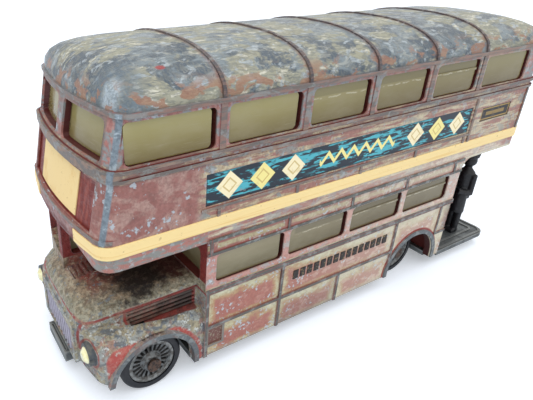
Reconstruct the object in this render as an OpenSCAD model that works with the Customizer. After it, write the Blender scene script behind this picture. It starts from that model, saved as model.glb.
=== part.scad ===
// Toy double-deck half-cab bus with an open rear platform.
// Millimetres. X forward, Y to the nearside, Z up; the wheels stand on Z = 0.

/* [Overall] */
// Length from the rear of the upper deck to the front tab
bus_length = 114; // [108:0.5:120]
// Width over the flat side panels
body_width = 34.2; // [32:0.2:36]
// Thickness of the cast side walls
side_wall = 1.7; // [1.4:0.1:1.9]
// Height of the skirt above the ground
skirt_height = 3.4; // [3.2:0.1:4]
// Height of the waist rail above the ground
waist_height = 18.5; // [17.8:0.1:19.5]
// Height of the lower window openings
lower_window_h = 5.8; // [5.2:0.1:6.6]
// Height of the narrow panels above the lower windows
head_panel_h = 3.1; // [2.6:0.1:3.6]
// Height of the rim that carries the deck moulding
rim_h = 2.4; // [2:0.1:3]
// Height of the cream band
band_h = 2.3; // [1.8:0.1:2.8]
// Height of the panel between the cream band and the upper windows
upper_panel_h = 12.2; // [11.4:0.1:13.4]
// Height of the upper window openings
upper_window_h = 6.5; // [5.8:0.1:7.2]
// Rise of the roof above the gutter
roof_rise = 6.55; // [6:0.05:7]

/* [Windows] */
// Width of the upper window pillars
upper_pillar_w = 2.3; // [1.8:0.1:3]
// Width of the lower window pillars
lower_pillar_w = 1.4; // [1:0.1:2]
// Corner radius of the window openings
window_corner_r = 0.9; // [0.5:0.1:1.3]
// Thickness of the glazing
glazing_t = 0.8; // [0.6:0.1:1]
// Depth of the raised side panes behind the outer face
pane_in = 0.5; // [0.3:0.05:0.8]
// Depth of the raised front panes behind the leaning front
front_pane_in = 1.2; // [0.8:0.1:1.6]

/* [Trim] */
// Width of the raised beads
bead_w = 0.7; // [0.5:0.05:0.9]
// Height of the raised beads
bead_proud = 0.32; // [0.2:0.02:0.4]
// Depth of the label recesses
label_recess = 0.3; // [0.2:0.02:0.4]
// Thickness of the paper labels
label_t = 0.16; // [0.12:0.02:0.2]
// Distance from the front tab back to the long side labels
advert_front_in = 22; // [21.4:0.2:26]
// Distance from the rear end forward to the long side labels
advert_rear_in = 23.2; // [22.6:0.2:26]
// Height of the long side labels
advert_h = 5.7; // [5:0.1:6]

/* [Front] */
// Height of the bonnet top at the bulkhead
bonnet_rear_h = 19.6; // [19:0.1:20]
// Height of the bonnet top at its front edge
bonnet_front_h = 16.8; // [16.2:0.1:17.4]
// Distance from the middle to the cab's bonnet-side face
cab_inner_y = 2.6; // [2.2:0.1:3.4]
// Diameter of the headlamp jewels
jewel_d = 3; // [2.6:0.1:3.6]

/* [Wheels] */
// Outer diameter of the tyres
tyre_d = 12.1; // [11.6:0.1:12.4]
// Width of the tyres
tyre_w = 3.6; // [3:0.1:3.8]
// Diameter of the hubs where the tyres sit
hub_d = 9; // [8.4:0.1:9.4]
// Gap between a tyre and its hub
tyre_gap = 0.12; // [0.1:0.02:0.2]
// Diameter of the axles
axle_d = 2; // [1.6:0.1:2.4]
// Radial running clearance of an axle in the base and of a hub on an axle
run_clear = 0.05; // [0.03:0.01:0.08]
// Distance from the front tab back to the front axle
front_overhang = 12.7; // [12.2:0.1:13.2]
// Distance from the rear end forward to the rear axle
rear_overhang = 33.4; // [33:0.1:34.2]
// Distance that the rear wheels stand further in than the front ones
rear_inset = 2.1; // [1.6:0.1:2.1]
// Gap kept between moving and fixed pieces
free_gap = 0.35; // [0.3:0.05:0.5]

/* [Base] */
// Height of the base plate's underside above the ground
base_height = 2.7; // [2.5:0.1:2.9]
// Thickness of the base plate
base_t = 1.2; // [1:0.1:1.4]
// Diameter of the rivet shanks
rivet_d = 2.4; // [2:0.1:2.8]
// Gap between assembled fixed pieces
seat_gap = 0.05; // [0.03:0.01:0.1]

/* [Figures] */
// Height of the standing figure
figure_h = 23; // [20:0.2:23.6]

/* [Hidden] */
$fn = 48;
// Parts that can be drawn

// Widths
half_w = body_width / 2;
inner_w = half_w - side_wall;
// Lengths
front_x = bus_length / 2;
rear_x = -bus_length / 2;
nose_x = front_x - 0.8;
band_x = front_x - 2;
cab_x = front_x - 3.6;
bulkhead_x = front_x - 22.7;
platform_x = rear_x + 21.2;
// The gutter at the rear reaches to the end of the toy
deck_rear = rear_x + 0.4;
bulk_t = side_wall;
// Window pillars: the front two are set from the front, the last from the rear
pillar_a = front_x - 23.5;
pillar_b = front_x - 40.7;
pillar_e = rear_x + 24.1;
bay = (pillar_b - pillar_e) / 3;
pillars = [pillar_a, pillar_b, pillar_b - bay, pillar_b - 2 * bay, pillar_e];
// Upper pillars stand a little behind the lower ones
up_pillar_b = pillar_b - 0.8;
up_bay = (up_pillar_b - pillar_e) / 3;
up_pillars = [pillar_a - 1.1, up_pillar_b, up_pillar_b - up_bay, up_pillar_b - 2 * up_bay,
    pillar_e];
// Heights
sill_z = waist_height + 1.7;
head_z = sill_z + lower_window_h;
canopy_z = head_z + head_panel_h;
band_z = canopy_z + rim_h;
upper_z = band_z + band_h;
up_sill_z = upper_z + upper_panel_h;
up_head_z = up_sill_z + upper_window_h;
gutter_z = up_head_z + 0.9;
base_top = base_height + base_t;
axle_z = tyre_d / 2;
mid_z = skirt_height + (waist_height - skirt_height) * 0.47;
// Front of the upper deck leans back between the band and the gutter
front_lean = 3.9;
lean_h = gutter_z - upper_z;
lean_angle = atan(front_lean / lean_h);
bow_r = 68;
cavity_x = band_x - front_lean - 2.5;
cavity_rear = deck_rear + side_wall;
// Wheels
front_axle_x = front_x - front_overhang;
rear_axle_x = rear_x + rear_overhang;
// The rear arches stand a little behind their wheels
rear_arch_x = rear_axle_x - 1;
arch_xs = [front_axle_x, rear_arch_x];
arch_r = tyre_d / 2 + 2;
arch_z = axle_z - 1.7;
tyre_out = half_w - 1.3;
tyre_in = tyre_out - tyre_w;
arch_in = tyre_in - rear_inset - 1;
block_y = half_w - 8.6;
block_w = 2.4;
// Bonnet
bonnet_rear_y = half_w - 2.8;
bonnet_front_y = half_w - 5.7;
bonnet_front_x = nose_x - 2.6;
wing_top = 14.4;
crown_front_h = bonnet_front_h + 2.1;
floor_z = 13.2;
cab_floor = wing_top;

// Plan outline of a deck: bowed rounded front, square or rounded rear
function plan(xf, xr, hw, rf, rr) =
    let(yc = hw - rf, xc = xf - yc * yc / (2 * bow_r) - rf) concat(
    [for (i = [-4:4]) let(y = yc * i / 4) [xf - y * y / (2 * bow_r), y]],
    [for (i = [1:6]) let(a = i * 15) [xc + rf * cos(a), yc + rf * sin(a)]],
    [for (i = [0:6]) let(a = 90 + i * 15) [xr + rr + rr * cos(a), hw - rr + rr * sin(a)]],
    [for (i = [0:6]) let(a = 180 + i * 15) [xr + rr + rr * cos(a), -hw + rr + rr * sin(a)]],
    [for (i = [0:5]) let(a = 270 + i * 15) [xc + rf * cos(a), -yc + rf * sin(a)]]);

// Rounded rectangle about its middle
module rrect(w, h, r) {
    square([w - 2 * r, h], center = true);
    square([w, h - 2 * r], center = true);
    for (x = [-1, 1], y = [-1, 1])
        translate([x * (w / 2 - r), y * (h / 2 - r)]) circle(r, $fn = 24);
}

// Opening cut through a side wall: its span along X, its span in Z
module side_opening(x0, x1, z0, z1, s) {
    translate([(x0 + x1) / 2, s * (inner_w - 0.5), (z0 + z1) / 2]) rotate([90, 0, s > 0 ? 180 : 0])
        linear_extrude(side_wall + 2) rrect(x1 - x0, z1 - z0, window_corner_r);
}

// Opening cut through a wall that faces along X
module end_opening(x0, x1, y0, y1, z0, z1) {
    translate([x0, (y0 + y1) / 2, (z0 + z1) / 2]) rotate([90, 0, 90])
        linear_extrude(x1 - x0) rrect(y1 - y0, z1 - z0, window_corner_r);
}

// Plain box by its corners
module span(x0, x1, y0, y1, z0, z1) {
    translate([x0, y0, z0]) cube([x1 - x0, y1 - y0, z1 - z0]);
}

// Raised bead on a side panel, sunk into the wall to be one with it
module side_bead(x0, x1, z0, z1, s, proud = bead_proud) {
    span(x0, x1, s > 0 ? half_w - 0.6 : -half_w - proud, s > 0 ? half_w + proud : -half_w + 0.6, z0, z1);
}

// Forward position of the upper front at a height
function lean_x(z) = band_x - front_lean * (z - upper_z) / lean_h;

// Frame lying on the leaning front: local X out of the surface, local Z up along it
module on_front(z) {
    translate([lean_x(z), 0, z]) rotate([0, -lean_angle, 0]) children();
}

// Roof outline: superellipse across and along
roof_power = 2 / 2.4;
dome_power = 2 / 3.2;
front_dome = 15;
rear_dome = 20;
// The roof falls a little to the rear
roof_slope = 0.0054;
function fall(a) = 1 - pow(cos(a), roof_power);
function rise(a) = pow(sin(a), roof_power);
function dome_fall(a) = 1 - pow(cos(a), dome_power);
roof_steps = [0, 14, 27, 39, 50, 60, 69, 77, 83];

// Solid form of the upper deck, from the band to the roof crown
module upper_form() {
    hull() {
        translate([0, 0, upper_z]) linear_extrude(0.01) polygon(plan(band_x, deck_rear, half_w, 3, 3));
        for (a = roof_steps)
            let(hw = half_w * (1 - fall(a)), rf = min(3 + 9 * fall(a), hw * 0.9))
            translate([0, 0, gutter_z + roof_rise * rise(a)])
                rotate([0, -atan(roof_slope * rise(a)), 0]) linear_extrude(0.01)
                polygon(plan(lean_x(gutter_z) - front_dome * dome_fall(a),
                    deck_rear + 0.1 + rear_dome * dome_fall(a), hw, rf, rf));
    }
}

// Section across the roof, for the ribs and the hollow
module roof_section(hw, h, drop) {
    pts = [for (a = [0:9:90]) [hw * (1 - fall(a)), h * rise(a)]];
    polygon(concat([[-hw, -drop], [hw, -drop]], pts, [for (i = [9:-1:0]) [-pts[i][0], pts[i][1]]]));
}

// Bead that runs round the upper deck at one height
module ring_bead(z0, z1, proud) {
    translate([0, 0, z0]) linear_extrude(z1 - z0) difference() {
        polygon(plan(lean_x(z0) + proud, deck_rear - proud, half_w + proud, 3, 3));
        polygon(plan(lean_x(z0) - 1.2, deck_rear + 1.2, half_w - 1.2, 3, 3));
    }
}

// Names of the window bays, from the front: their spans along X
up_front_x = front_x - 8.3;
up_rear_x = rear_x + 7;
function up_left(i) = i == 0 ? up_front_x : up_pillars[i - 1] - upper_pillar_w / 2;
function up_right(i) = i == 5 ? up_rear_x : up_pillars[i] + upper_pillar_w / 2;
function low_left(i) = i == 0 ? bulkhead_x - 2.1 : pillars[i] - lower_pillar_w / 2;
function low_right(i) = pillars[i + 1] + lower_pillar_w / 2;

// Upper casting: sides, leaning front and domed roof in one piece
front_win_in = 1.2;
front_win_out = half_w - 3.1;
front_panel_y = half_w - 3.5;
advert_x0 = rear_x + advert_rear_in;
advert_l = bus_length - advert_front_in - advert_rear_in;
advert_z0 = upper_z + 2.3;
tongue_y = 9;
rib_w = 0.6;
module upper_body() color("firebrick") {
    difference() {
        union() {
            upper_form();
            // gutter, sill rails and front ledge
            ring_bead(gutter_z - 0.35, gutter_z + 0.35, 0.4);
            ring_bead(up_sill_z - 0.95, up_sill_z - 0.3, 0.3);
            ring_bead(up_sill_z - 2.3, up_sill_z - 1.75, 0.25);
            intersection() {
                ring_bead(up_sill_z - 2.2, up_sill_z - 0.4, 0.45);
                span(up_front_x - 1, front_x, -half_w, half_w, upper_z, gutter_z);
            }
            // roof ribs above the pillars
            for (x = up_pillars)
                translate([x - rib_w / 2, 0, gutter_z]) rotate([90, 0, 90])
                    linear_extrude(rib_w)
                        roof_section(half_w + 0.28, roof_rise + roof_slope * x + 0.28, 0.2);
            // pillar strips, and small ribs and frame below the sill
            for (s = [-1, 1]) {
                for (x = up_pillars) side_bead(x - 0.55, x + 0.55, up_sill_z - 0.5, gutter_z, s, 0.2);
                for (x = up_pillars) side_bead(x - 0.3, x + 0.3, upper_z, advert_z0 - 0.7, s, 0.2);
                side_bead(advert_x0 - 0.8, advert_x0 + advert_l + 0.8,
                    advert_z0 - 0.75, advert_z0 - 0.3, s, 0.2);
                side_bead(advert_x0 - 1.1, advert_x0 - 0.5, upper_z, up_sill_z - 2, s, 0.25);
                side_bead(rear_x + 3, rear_x + 3.5, upper_z, up_sill_z - 2, s, 0.25);
            }
            // tongue of the front panel that covers the band
            intersection() {
                translate([0, 0, band_z + seat_gap]) linear_extrude(band_h + 1)
                    polygon(plan(band_x, 0, half_w, 3, 3));
                span(band_x - 2.2, front_x, -tongue_y, tongue_y, band_z, upper_z + 1);
            }
            // bottom bead of the front panel
            intersection() {
                ring_bead(upper_z + 0.3, upper_z + 1, 0.15);
                span(band_x - 5, front_x, -half_w, half_w, upper_z, gutter_z);
            }
        }
        // hollow inside, open below
        translate([0, 0, upper_z - 0.5]) linear_extrude(gutter_z - upper_z + 0.5)
            polygon(plan(cavity_x, cavity_rear, inner_w, 0.6, 2));
        translate([cavity_rear + 7, 0, gutter_z - 0.1]) rotate([90, 0, 90])
            linear_extrude(cavity_x - cavity_rear - 17) roof_section(inner_w - 0.6, roof_rise - 2, 0.5);
        // side, front and rear windows
        for (s = [-1, 1], i = [0:5]) side_opening(up_right(i), up_left(i), up_sill_z, up_head_z, s);
        for (s = [-1, 1]) end_opening(cavity_x - 1, front_x, s > 0 ? front_win_in : -front_win_out,
            s > 0 ? front_win_out : -front_win_in, up_sill_z + 0.1, up_head_z - 0.1);
        end_opening(rear_x - 1, cavity_rear + 1, -9, 9, up_sill_z - 0.4, up_head_z);
        // recess for the long side labels and the small ones behind
        for (s = [-1, 1]) {
            span(advert_x0, advert_x0 + advert_l, s > 0 ? half_w - label_recess : -half_w - 1,
                s > 0 ? half_w + 1 : -half_w + label_recess, advert_z0, advert_z0 + advert_h);
            span(small_x0, small_x0 + small_l, s > 0 ? half_w - label_recess : -half_w - 1,
                s > 0 ? half_w + 1 : -half_w + label_recess, small_z0, small_z0 + small_h);
        }
        // sunken front panel round the blind label, and the rear one
        on_front(upper_z) difference() {
            span(-3, 2, -front_panel_y, front_panel_y, 1.5, upper_panel_h - 2.4);
            translate([-bow_r - front_sink, 0, -1]) cylinder(r = bow_r, h = 20, $fn = 240);
        }
        span(rear_x - 1, deck_rear + front_sink, -blind_w / 2, blind_w / 2, blind_z0, blind_z0 + blind_h);
    }
}

// Small label behind the long one, and the blind labels
small_x0 = rear_x + 8.5;
small_l = 11;
small_h = 3.2;
small_z0 = upper_z + 4;
front_sink = 0.5;
blind_w = 16.8;
blind_h = 7.6;
blind_z0 = upper_z + 2.1;
module blind_label_front() color("wheat") on_front(upper_z) intersection() {
    span(-3, 2, -blind_w / 2, blind_w / 2, 2, 2 + blind_h);
    difference() {
        translate([-bow_r - front_sink + label_t, 0, -1]) cylinder(r = bow_r, h = 20, $fn = 240);
        translate([-bow_r - front_sink, 0, -2]) cylinder(r = bow_r, h = 22, $fn = 240);
    }
}
module blind_label_rear() color("wheat") {
    span(deck_rear + front_sink - label_t, deck_rear + front_sink,
        -blind_w / 2 + seat_gap, blind_w / 2 - seat_gap, blind_z0 + seat_gap, blind_z0 + blind_h - seat_gap);
}

// Paper labels lying in the side recesses
module side_sheet(x0, l, z0, h, s) {
    span(x0 + seat_gap, x0 + l - seat_gap, s > 0 ? half_w - label_recess : -half_w + label_recess - label_t,
        s > 0 ? half_w - label_recess + label_t : -half_w + label_recess, z0 + seat_gap, z0 + h - seat_gap);
}
module advert_label(s) color("teal") side_sheet(advert_x0, advert_l, advert_z0, advert_h, s);
module small_label(s) color("black") side_sheet(small_x0, small_l, small_z0, small_h, s);

// Row of plain dark marks on the lower side panel
mark_n = 15;
mark_pitch = 1.85;
mark_w = 1.25;
mark_h = 2;
mark_x0 = (pillars[1] + pillars[3]) / 2 - mark_n * mark_pitch / 2 + 0.3;
mark_z0 = mid_z + 3.4;
module side_label(s) color("black") for (i = [0:mark_n - 1])
    span(mark_x0 + i * mark_pitch, mark_x0 + i * mark_pitch + mark_w, s > 0 ? half_w : -half_w - label_t,
        s > 0 ? half_w + label_t : -half_w, mark_z0, mark_z0 + mark_h);

// Cream deck: its edge shows as the band, the upper seats stand on it
seat_l = 5;
aisle = 3.5;
seat_clear = 2.5;
seat_w = inner_w - aisle - seat_clear;
seat_in = 5;
seat_h = 3.8;
seat_back_h = 9.5;
stair_x0 = rear_x + 5;
stair_x1 = platform_x - 3;
stair_hole_l = 10.8;
stair_hole_x = stair_x1 - stair_hole_l;
stair_y0 = -inner_w + 1.2;
stair_y1 = -5.5;
module bench(x, y0, y1, z, h, back) {
    span(x, x + seat_l, y0, y1, z, z + h);
    span(x - 1, x + 0.4, y0, y1, z, z + back);
}
module deck_moulding() color("moccasin") {
    difference() {
        translate([0, 0, band_z]) linear_extrude(band_h)
            polygon(plan(band_x + 0.2, deck_rear - 0.2, half_w + 0.22, 3, 3));
        // the front panel's tongue takes this place
        span(band_x - 2.2 - seat_gap, front_x, -tongue_y - seat_gap, tongue_y + seat_gap,
            band_z - 1, upper_z + 1);
        span(stair_hole_x, stair_x1, stair_y0, stair_y1, band_z - 1, upper_z + 1);
    }
    for (i = [0:4], s = [-1, 1])
        bench(pillars[i] + seat_in, s > 0 ? aisle : -aisle - seat_w, s > 0 ? aisle + seat_w : -aisle,
            upper_z - 0.4, seat_h, seat_back_h);
    bench(pillars[4] - seat_in - 4, aisle, aisle + seat_w, upper_z - 0.4, seat_h, seat_back_h);
}

// Raised pane of a moulding in a side window, open at the window's rear end
pane_gap = 2 * seat_gap;
pane_rear_gap = 0.7;
module side_pane(x0, x1, z0, z1, s) {
    translate([(x0 + x1 + pane_rear_gap - pane_gap) / 2, s * (inner_w - 0.3), (z0 + z1) / 2])
        rotate([90, 0, s > 0 ? 180 : 0]) linear_extrude(side_wall + 0.3 - pane_in)
            rrect(x1 - x0 - pane_rear_gap - pane_gap, z1 - z0 - 2 * pane_gap, window_corner_r - pane_gap);
}

// Bar of a vent window, proud of its pane
vent_proud = 0.2;
vent_w = 0.45;
module vent_bar(x0, x1, z, s) {
    out = half_w - pane_in + vent_proud;
    span(x0 + pane_rear_gap, x1 - pane_gap, s > 0 ? inner_w - 0.3 : -out, s > 0 ? out : -inner_w + 0.3,
        z - vent_w / 2, z + vent_w / 2);
}

// Clear moulding of the upper deck: one band behind all its windows
vent_z = up_head_z - upper_window_h * 0.3;
module upper_glazing() color("tan", 0.6) {
    translate([0, 0, up_sill_z - 1]) linear_extrude(up_head_z - up_sill_z + 1.6) difference() {
        polygon(plan(cavity_x, cavity_rear, inner_w, 0.6, 2));
        polygon(plan(cavity_x - glazing_t, cavity_rear + glazing_t, inner_w - glazing_t, 0.4, 1.4));
    }
    // raised panes that stand in the openings
    for (s = [-1, 1]) {
        for (i = [0:5]) side_pane(up_right(i), up_left(i), up_sill_z, up_head_z, s);
        intersection() {
            end_opening(cavity_x - 0.5, front_x, (s > 0 ? front_win_in : -front_win_out) + pane_gap,
                (s > 0 ? front_win_out : -front_win_in) - pane_gap,
                up_sill_z + 0.1 + pane_gap, up_head_z - 0.1 - pane_gap);
            on_front(upper_z) translate([-bow_r - front_pane_in, 0, -1])
                cylinder(r = bow_r, h = 2 * lean_h, $fn = 240);
        }
    }
    // vent bar of the fifth bay
    for (s = [-1, 1]) vent_bar(up_right(4), up_left(4), vent_z, s);
}

// Clear moulding of the lower saloon: two sides joined by the bulkhead pane
bulk_in = bulkhead_x - bulk_t;
low_vent_z = head_z - lower_window_h * 0.33;
bulk_win_y0 = 3.5;
bulk_win_y1 = inner_w - 0.3;
module lower_glazing() color("tan", 0.6) {
    for (s = [-1, 1]) {
        span(platform_x + bulk_t + seat_gap, bulk_in, s > 0 ? inner_w - glazing_t : -inner_w,
            s > 0 ? inner_w : -inner_w + glazing_t, sill_z - 0.8, head_z + 0.8);
        for (i = [0:3]) side_pane(low_right(i), low_left(i), sill_z, head_z, s);
        for (i = [2, 3]) vent_bar(low_right(i), low_left(i), low_vent_z, s);
    }
    span(bulk_in - glazing_t, bulk_in, -inner_w, inner_w, sill_z - 0.8, head_z + 0.8);
}

// Clear moulding of the cab: windscreen, door window and bonnet-side window
cab_side_in = -cab_inner_y - side_wall;
cab_in_x = cab_x - side_wall;
cab_sill = sill_z;
cab_head = canopy_z - 0.6;
cab_pane_top = canopy_z - 0.15;
module cab_plan(x, hw, r) intersection() {
    polygon(plan(x, bulkhead_x - 6, hw, r, 0.1));
    translate([bulkhead_x + 0.01, -half_w - 1]) square([cab_x, half_w + 1 + cab_side_in]);
}
module cab_glazing() color("tan", 0.6) {
    translate([0, 0, cab_sill - 0.8]) linear_extrude(cab_pane_top - cab_sill + 0.8) difference() {
        cab_plan(cab_in_x, inner_w, 2);
        polygon(plan(cab_in_x - glazing_t, bulkhead_x - 6, inner_w - glazing_t, 1.4, 0.1));
        translate([bulkhead_x - 1, -half_w]) square([4, half_w]);
    }
    span(bulkhead_x + 3, cab_in_x - glazing_t, cab_side_in - glazing_t, cab_side_in,
        cab_sill - 0.8, cab_pane_top);
}

// Slice across the bonnet at one distance along X
module bonnet_slice(x, y0, y1, crown, top, edge) {
    translate([x, 0, 0]) rotate([90, 0, 90]) linear_extrude(0.01)
        polygon([[y0, 10], [y1, 10], [y1, top - edge], [y1 - edge * 0.3, top - edge * 0.35], [y1 - edge, top],
            [y1 * 0.55, crown - (crown - top) * 0.3], [y1 * 0.1, crown],
            [y0 * 0.55, crown - (crown - top) * 0.3],
            [y0 + edge, top], [y0 + edge * 0.3, top - edge * 0.35], [y0, top - edge]]);
}

// Frame on the bonnet's nearside flank: local X forward along its upper crease
flank_yaw = atan((bonnet_front_y - bonnet_rear_y) / (bonnet_front_x - bulkhead_x));
flank_pitch = atan((bonnet_rear_h - bonnet_front_h) / (bonnet_front_x - bulkhead_x));
module on_flank() {
    translate([bulkhead_x, bonnet_rear_y, bonnet_rear_h - 1]) rotate([0, 0, flank_yaw])
        rotate([0, flank_pitch, 0]) children();
}

// Frame on the bonnet top: local X forward down its slope
crown_pitch = atan((bonnet_rear_h + 0.3 - crown_front_h) / (bonnet_front_x - 1 - bulkhead_x));
module on_bonnet() {
    translate([bulkhead_x, 0, bonnet_rear_h + 0.3]) rotate([0, crown_pitch, 0]) children();
}

// Slice through the wings and nose at one height
module wing_slice(z, x, hw) translate([0, 0, z]) linear_extrude(0.01)
    polygon(plan(x, bulkhead_x - 0.5, hw, 3.6, 0.1));

// Lip round a wheel arch
lip_w = 1;
lip_proud = 0.35;
module arch_lip(x, s) intersection() {
    translate([x, s > 0 ? half_w - 0.6 : -half_w - lip_proud, arch_z]) rotate([-90, 0, 0])
        cylinder(r = arch_r + lip_w, h = 0.6 + lip_proud, $fn = 64);
    span(x - arch_r - 3, x + arch_r + 3, -half_w - 2, half_w + 2, skirt_height, waist_height);
}

// Lower casting: side panels, bulkheads, bonnet, wings, half cab and canopy rim
nose_form_x = nose_x - 0.2;
nose_skirt = 5.6;
grille_y = 7.3;
grille_z0 = 6.1;
grille_z1 = 12.4;
grille_x = nose_x - 0.75;
tab_y = 4.8;
tab_top = 4.9;
lamp_y = half_w - 4.3;
lamp_z = 10.8;
lamp_x = nose_x - 0.7;
post_d = rivet_d + 3;
rivet_head_d = rivet_d + 1.8;
rivet_head_h = base_t / 2;
rivet_l = 6;
post_x = [bulk_in - 3, 0, platform_x + bulk_t + 3];
door_y0 = -3.5;
door_y1 = 5;
stair_wall_y = -1;
ledge_h = 0.8;
module lower_body() color("firebrick") {
    difference() {
        union() {
            // saloon sides and the closed offside rear quarter
            for (s = [-1, 1])
                span(platform_x, bulkhead_x, s > 0 ? inner_w : -half_w, s > 0 ? half_w : -inner_w,
                    skirt_height, band_z);
            intersection() {
                translate([0, 0, skirt_height]) linear_extrude(band_z - skirt_height) difference() {
                    polygon(plan(band_x, deck_rear, half_w, 3, 3));
                    polygon(plan(band_x - side_wall, deck_rear + side_wall, inner_w, 2, 2));
                }
                span(rear_x - 1, platform_x + 0.5, -half_w - 1, stair_wall_y, 0, gutter_z);
            }
            // bulkheads
            span(bulk_in, bulkhead_x, -inner_w - 0.3, inner_w + 0.3, base_top, band_z);
            span(platform_x, platform_x + bulk_t, -inner_w - 0.3, inner_w + 0.3, base_top, band_z);
            // rim and canopy, and the platform's ceiling
            translate([0, 0, canopy_z]) linear_extrude(rim_h) difference() {
                polygon(plan(band_x - 0.2, deck_rear, half_w, 3, 3));
                polygon(plan(band_x - 0.2 - side_wall, deck_rear + side_wall, inner_w, 2, 2));
            }
            intersection() {
                translate([0, 0, canopy_z]) linear_extrude(1.1)
                    polygon(plan(band_x - 0.2, deck_rear, half_w, 3, 3));
                union() {
                    span(bulk_in, front_x, -half_w, half_w, canopy_z, band_z);
                    difference() {
                        span(rear_x, platform_x + 0.5, -half_w, half_w, canopy_z, band_z);
                        span(stair_hole_x, stair_x1, stair_y0, stair_y1, canopy_z - 1, band_z + 1);
                    }
                }
            }
            // half cab
            intersection() {
                translate([0, 0, skirt_height]) linear_extrude(canopy_z - skirt_height + 0.5)
                    polygon(plan(cab_x, bulkhead_x - 1, half_w, 2.5, 0.1));
                span(bulkhead_x - 0.5, front_x, -half_w - 1, -cab_inner_y, 0, gutter_z);
            }
            // wings and nose
            hull() {
                wing_slice(skirt_height, nose_form_x - 0.3, half_w);
                wing_slice(wing_top - 3.4, nose_form_x, half_w);
                wing_slice(wing_top - 1.6, nose_form_x - 0.2, half_w - 0.6);
                wing_slice(wing_top - 0.5, nose_form_x - 0.6, half_w - 1.7);
                wing_slice(wing_top, nose_form_x - 1.1, half_w - 3);
            }
            // bonnet and cowl
            hull() {
                bonnet_slice(bulkhead_x - 0.5, -half_w + 0.4, bonnet_rear_y,
                    bonnet_rear_h + 0.3, bonnet_rear_h, 1);
                bonnet_slice(bonnet_front_x - 1, -bonnet_front_y - 2, bonnet_front_y,
                    crown_front_h, bonnet_front_h, 1.3);
                bonnet_slice(nose_x - 1.7, -bonnet_front_y - 0.8, bonnet_front_y - 0.4,
                    crown_front_h - 1, bonnet_front_h - 0.8, 1.5);
                bonnet_slice(nose_x - 0.7, -bonnet_front_y + 0.4, bonnet_front_y - 1,
                    crown_front_h - 2.6, bonnet_front_h - 1.8, 1.6);
                bonnet_slice(nose_x - 0.3, -bonnet_front_y + 1.2, bonnet_front_y - 1.4,
                    crown_front_h - 4.4, bonnet_front_h - 3, 1.4);
            }
            // radiator panel and headlamp pods
            span(nose_x - 3, nose_x, -grille_y - 1.4, grille_y + 1.4, nose_skirt, bonnet_front_h - 2.6);
            for (s = [-1, 1]) translate([lamp_x - 3, s * lamp_y, lamp_z]) rotate([0, 90, 0])
                cylinder(d = jewel_d + 1.2, h = 3, $fn = 40);
            // arch lips
            for (s = [-1, 1], x = arch_xs) arch_lip(x, s);
            // beads of both sides
            for (s = [-1, 1]) {
                side_bead(platform_x, bulkhead_x, canopy_z - 0.1, canopy_z + 0.5, s);
                side_bead(platform_x, bulkhead_x, head_z + 0.25, head_z + 0.8, s, 0.25);
                side_bead(platform_x, bulkhead_x, waist_height - 0.5, waist_height + 0.6, s);
                side_bead(rear_arch_x + arch_r, bulkhead_x, mid_z - bead_w / 2, mid_z + bead_w / 2, s);
                side_bead(platform_x, pillar_e + 1, mid_z - 0.3, mid_z + 0.3, s, 0.25);
                for (x = [pillars[0], pillars[1], pillars[2], pillars[3], pillar_e])
                    side_bead(x - 0.3, x + 0.3, head_z + 0.5, canopy_z, s, 0.22);
                side_bead(bulkhead_x - 0.8, bulkhead_x, skirt_height, waist_height, s);
                side_bead(pillars[1] - 0.1, pillars[1] + bead_w - 0.1, skirt_height, waist_height, s);
                side_bead(pillars[2], pillars[2] + bead_w, skirt_height, mid_z, s);
                side_bead(pillars[3] - 0.1, pillars[3] + bead_w - 0.1, skirt_height, waist_height, s);
                side_bead(pillar_e + 0.6, pillar_e + 1.2, mid_z, waist_height, s, 0.25);
            }
            // offside cab door frame
            side_bead(bulkhead_x + 3.6, bulkhead_x + 4.2, mid_z + 3, canopy_z, -1, 0.25);
            side_bead(bulkhead_x + 13, bulkhead_x + 13.6, mid_z + 3, canopy_z, -1, 0.25);
            // bracket above the platform's entrance
            difference() {
                span(platform_x - 2.8, platform_x + 0.5, inner_w, half_w, canopy_z - 3.4, canopy_z + 0.5);
                translate([platform_x - 3, inner_w - 1, canopy_z - 3]) rotate([-90, 0, 0])
                    cylinder(r = 3, h = side_wall + 2);
                span(platform_x - 4, platform_x, inner_w - 1, half_w + 1, canopy_z - 5, canopy_z - 3);
            }
        }
        // seat of the base plate, hollow of the wings and the nose, and of the bonnet
        span(bulk_in - 1, nose_x - 3.6, -inner_w, inner_w, 0, base_top);
        span(bulkhead_x + 0.01, nose_x - 3.6, -inner_w, inner_w, 0, floor_z - 0.2);
        span(bulkhead_x + 0.01, bonnet_front_x - 2, -cab_inner_y + 1.6, bonnet_front_y - 2.2,
            floor_z - 1, bonnet_front_h - 1.8);
        // cab inside, windscreen, door window and bonnet-side window
        translate([0, 0, cab_floor]) linear_extrude(canopy_z - cab_floor) cab_plan(cab_in_x, inner_w, 2);
        end_opening(cab_in_x - 1, front_x, -inner_w + 1.1, cab_side_in - 0.1, cab_sill, cab_head);
        side_opening(bulkhead_x + 4.6, bulkhead_x + 12.4, cab_sill, cab_head - 0.4, -1);
        translate([(bulkhead_x + cab_in_x + 3.3) / 2, -cab_inner_y + 1, (cab_sill + cab_head) / 2 + 0.3])
            rotate([90, 0, 0]) linear_extrude(side_wall + 2)
                rrect(cab_in_x - bulkhead_x - 3.5, cab_head - cab_sill - 0.6, window_corner_r);
        // straight front of the canopy, in line with the cab
        span(cab_x, front_x, -half_w - 1, half_w + 1, canopy_z - 0.01, band_z + 0.01);
        // front bulkhead windows and rear doorway
        end_opening(bulk_in - 1, bulkhead_x + 1, bulk_win_y0, bulk_win_y1, sill_z, head_z + 0.6);
        span(platform_x - 1, platform_x + bulk_t + 1, door_y0, door_y1, 0, head_z);
        // saloon windows
        for (s = [-1, 1], i = [0:3]) side_opening(low_right(i), low_left(i), sill_z, head_z, s);
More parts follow.
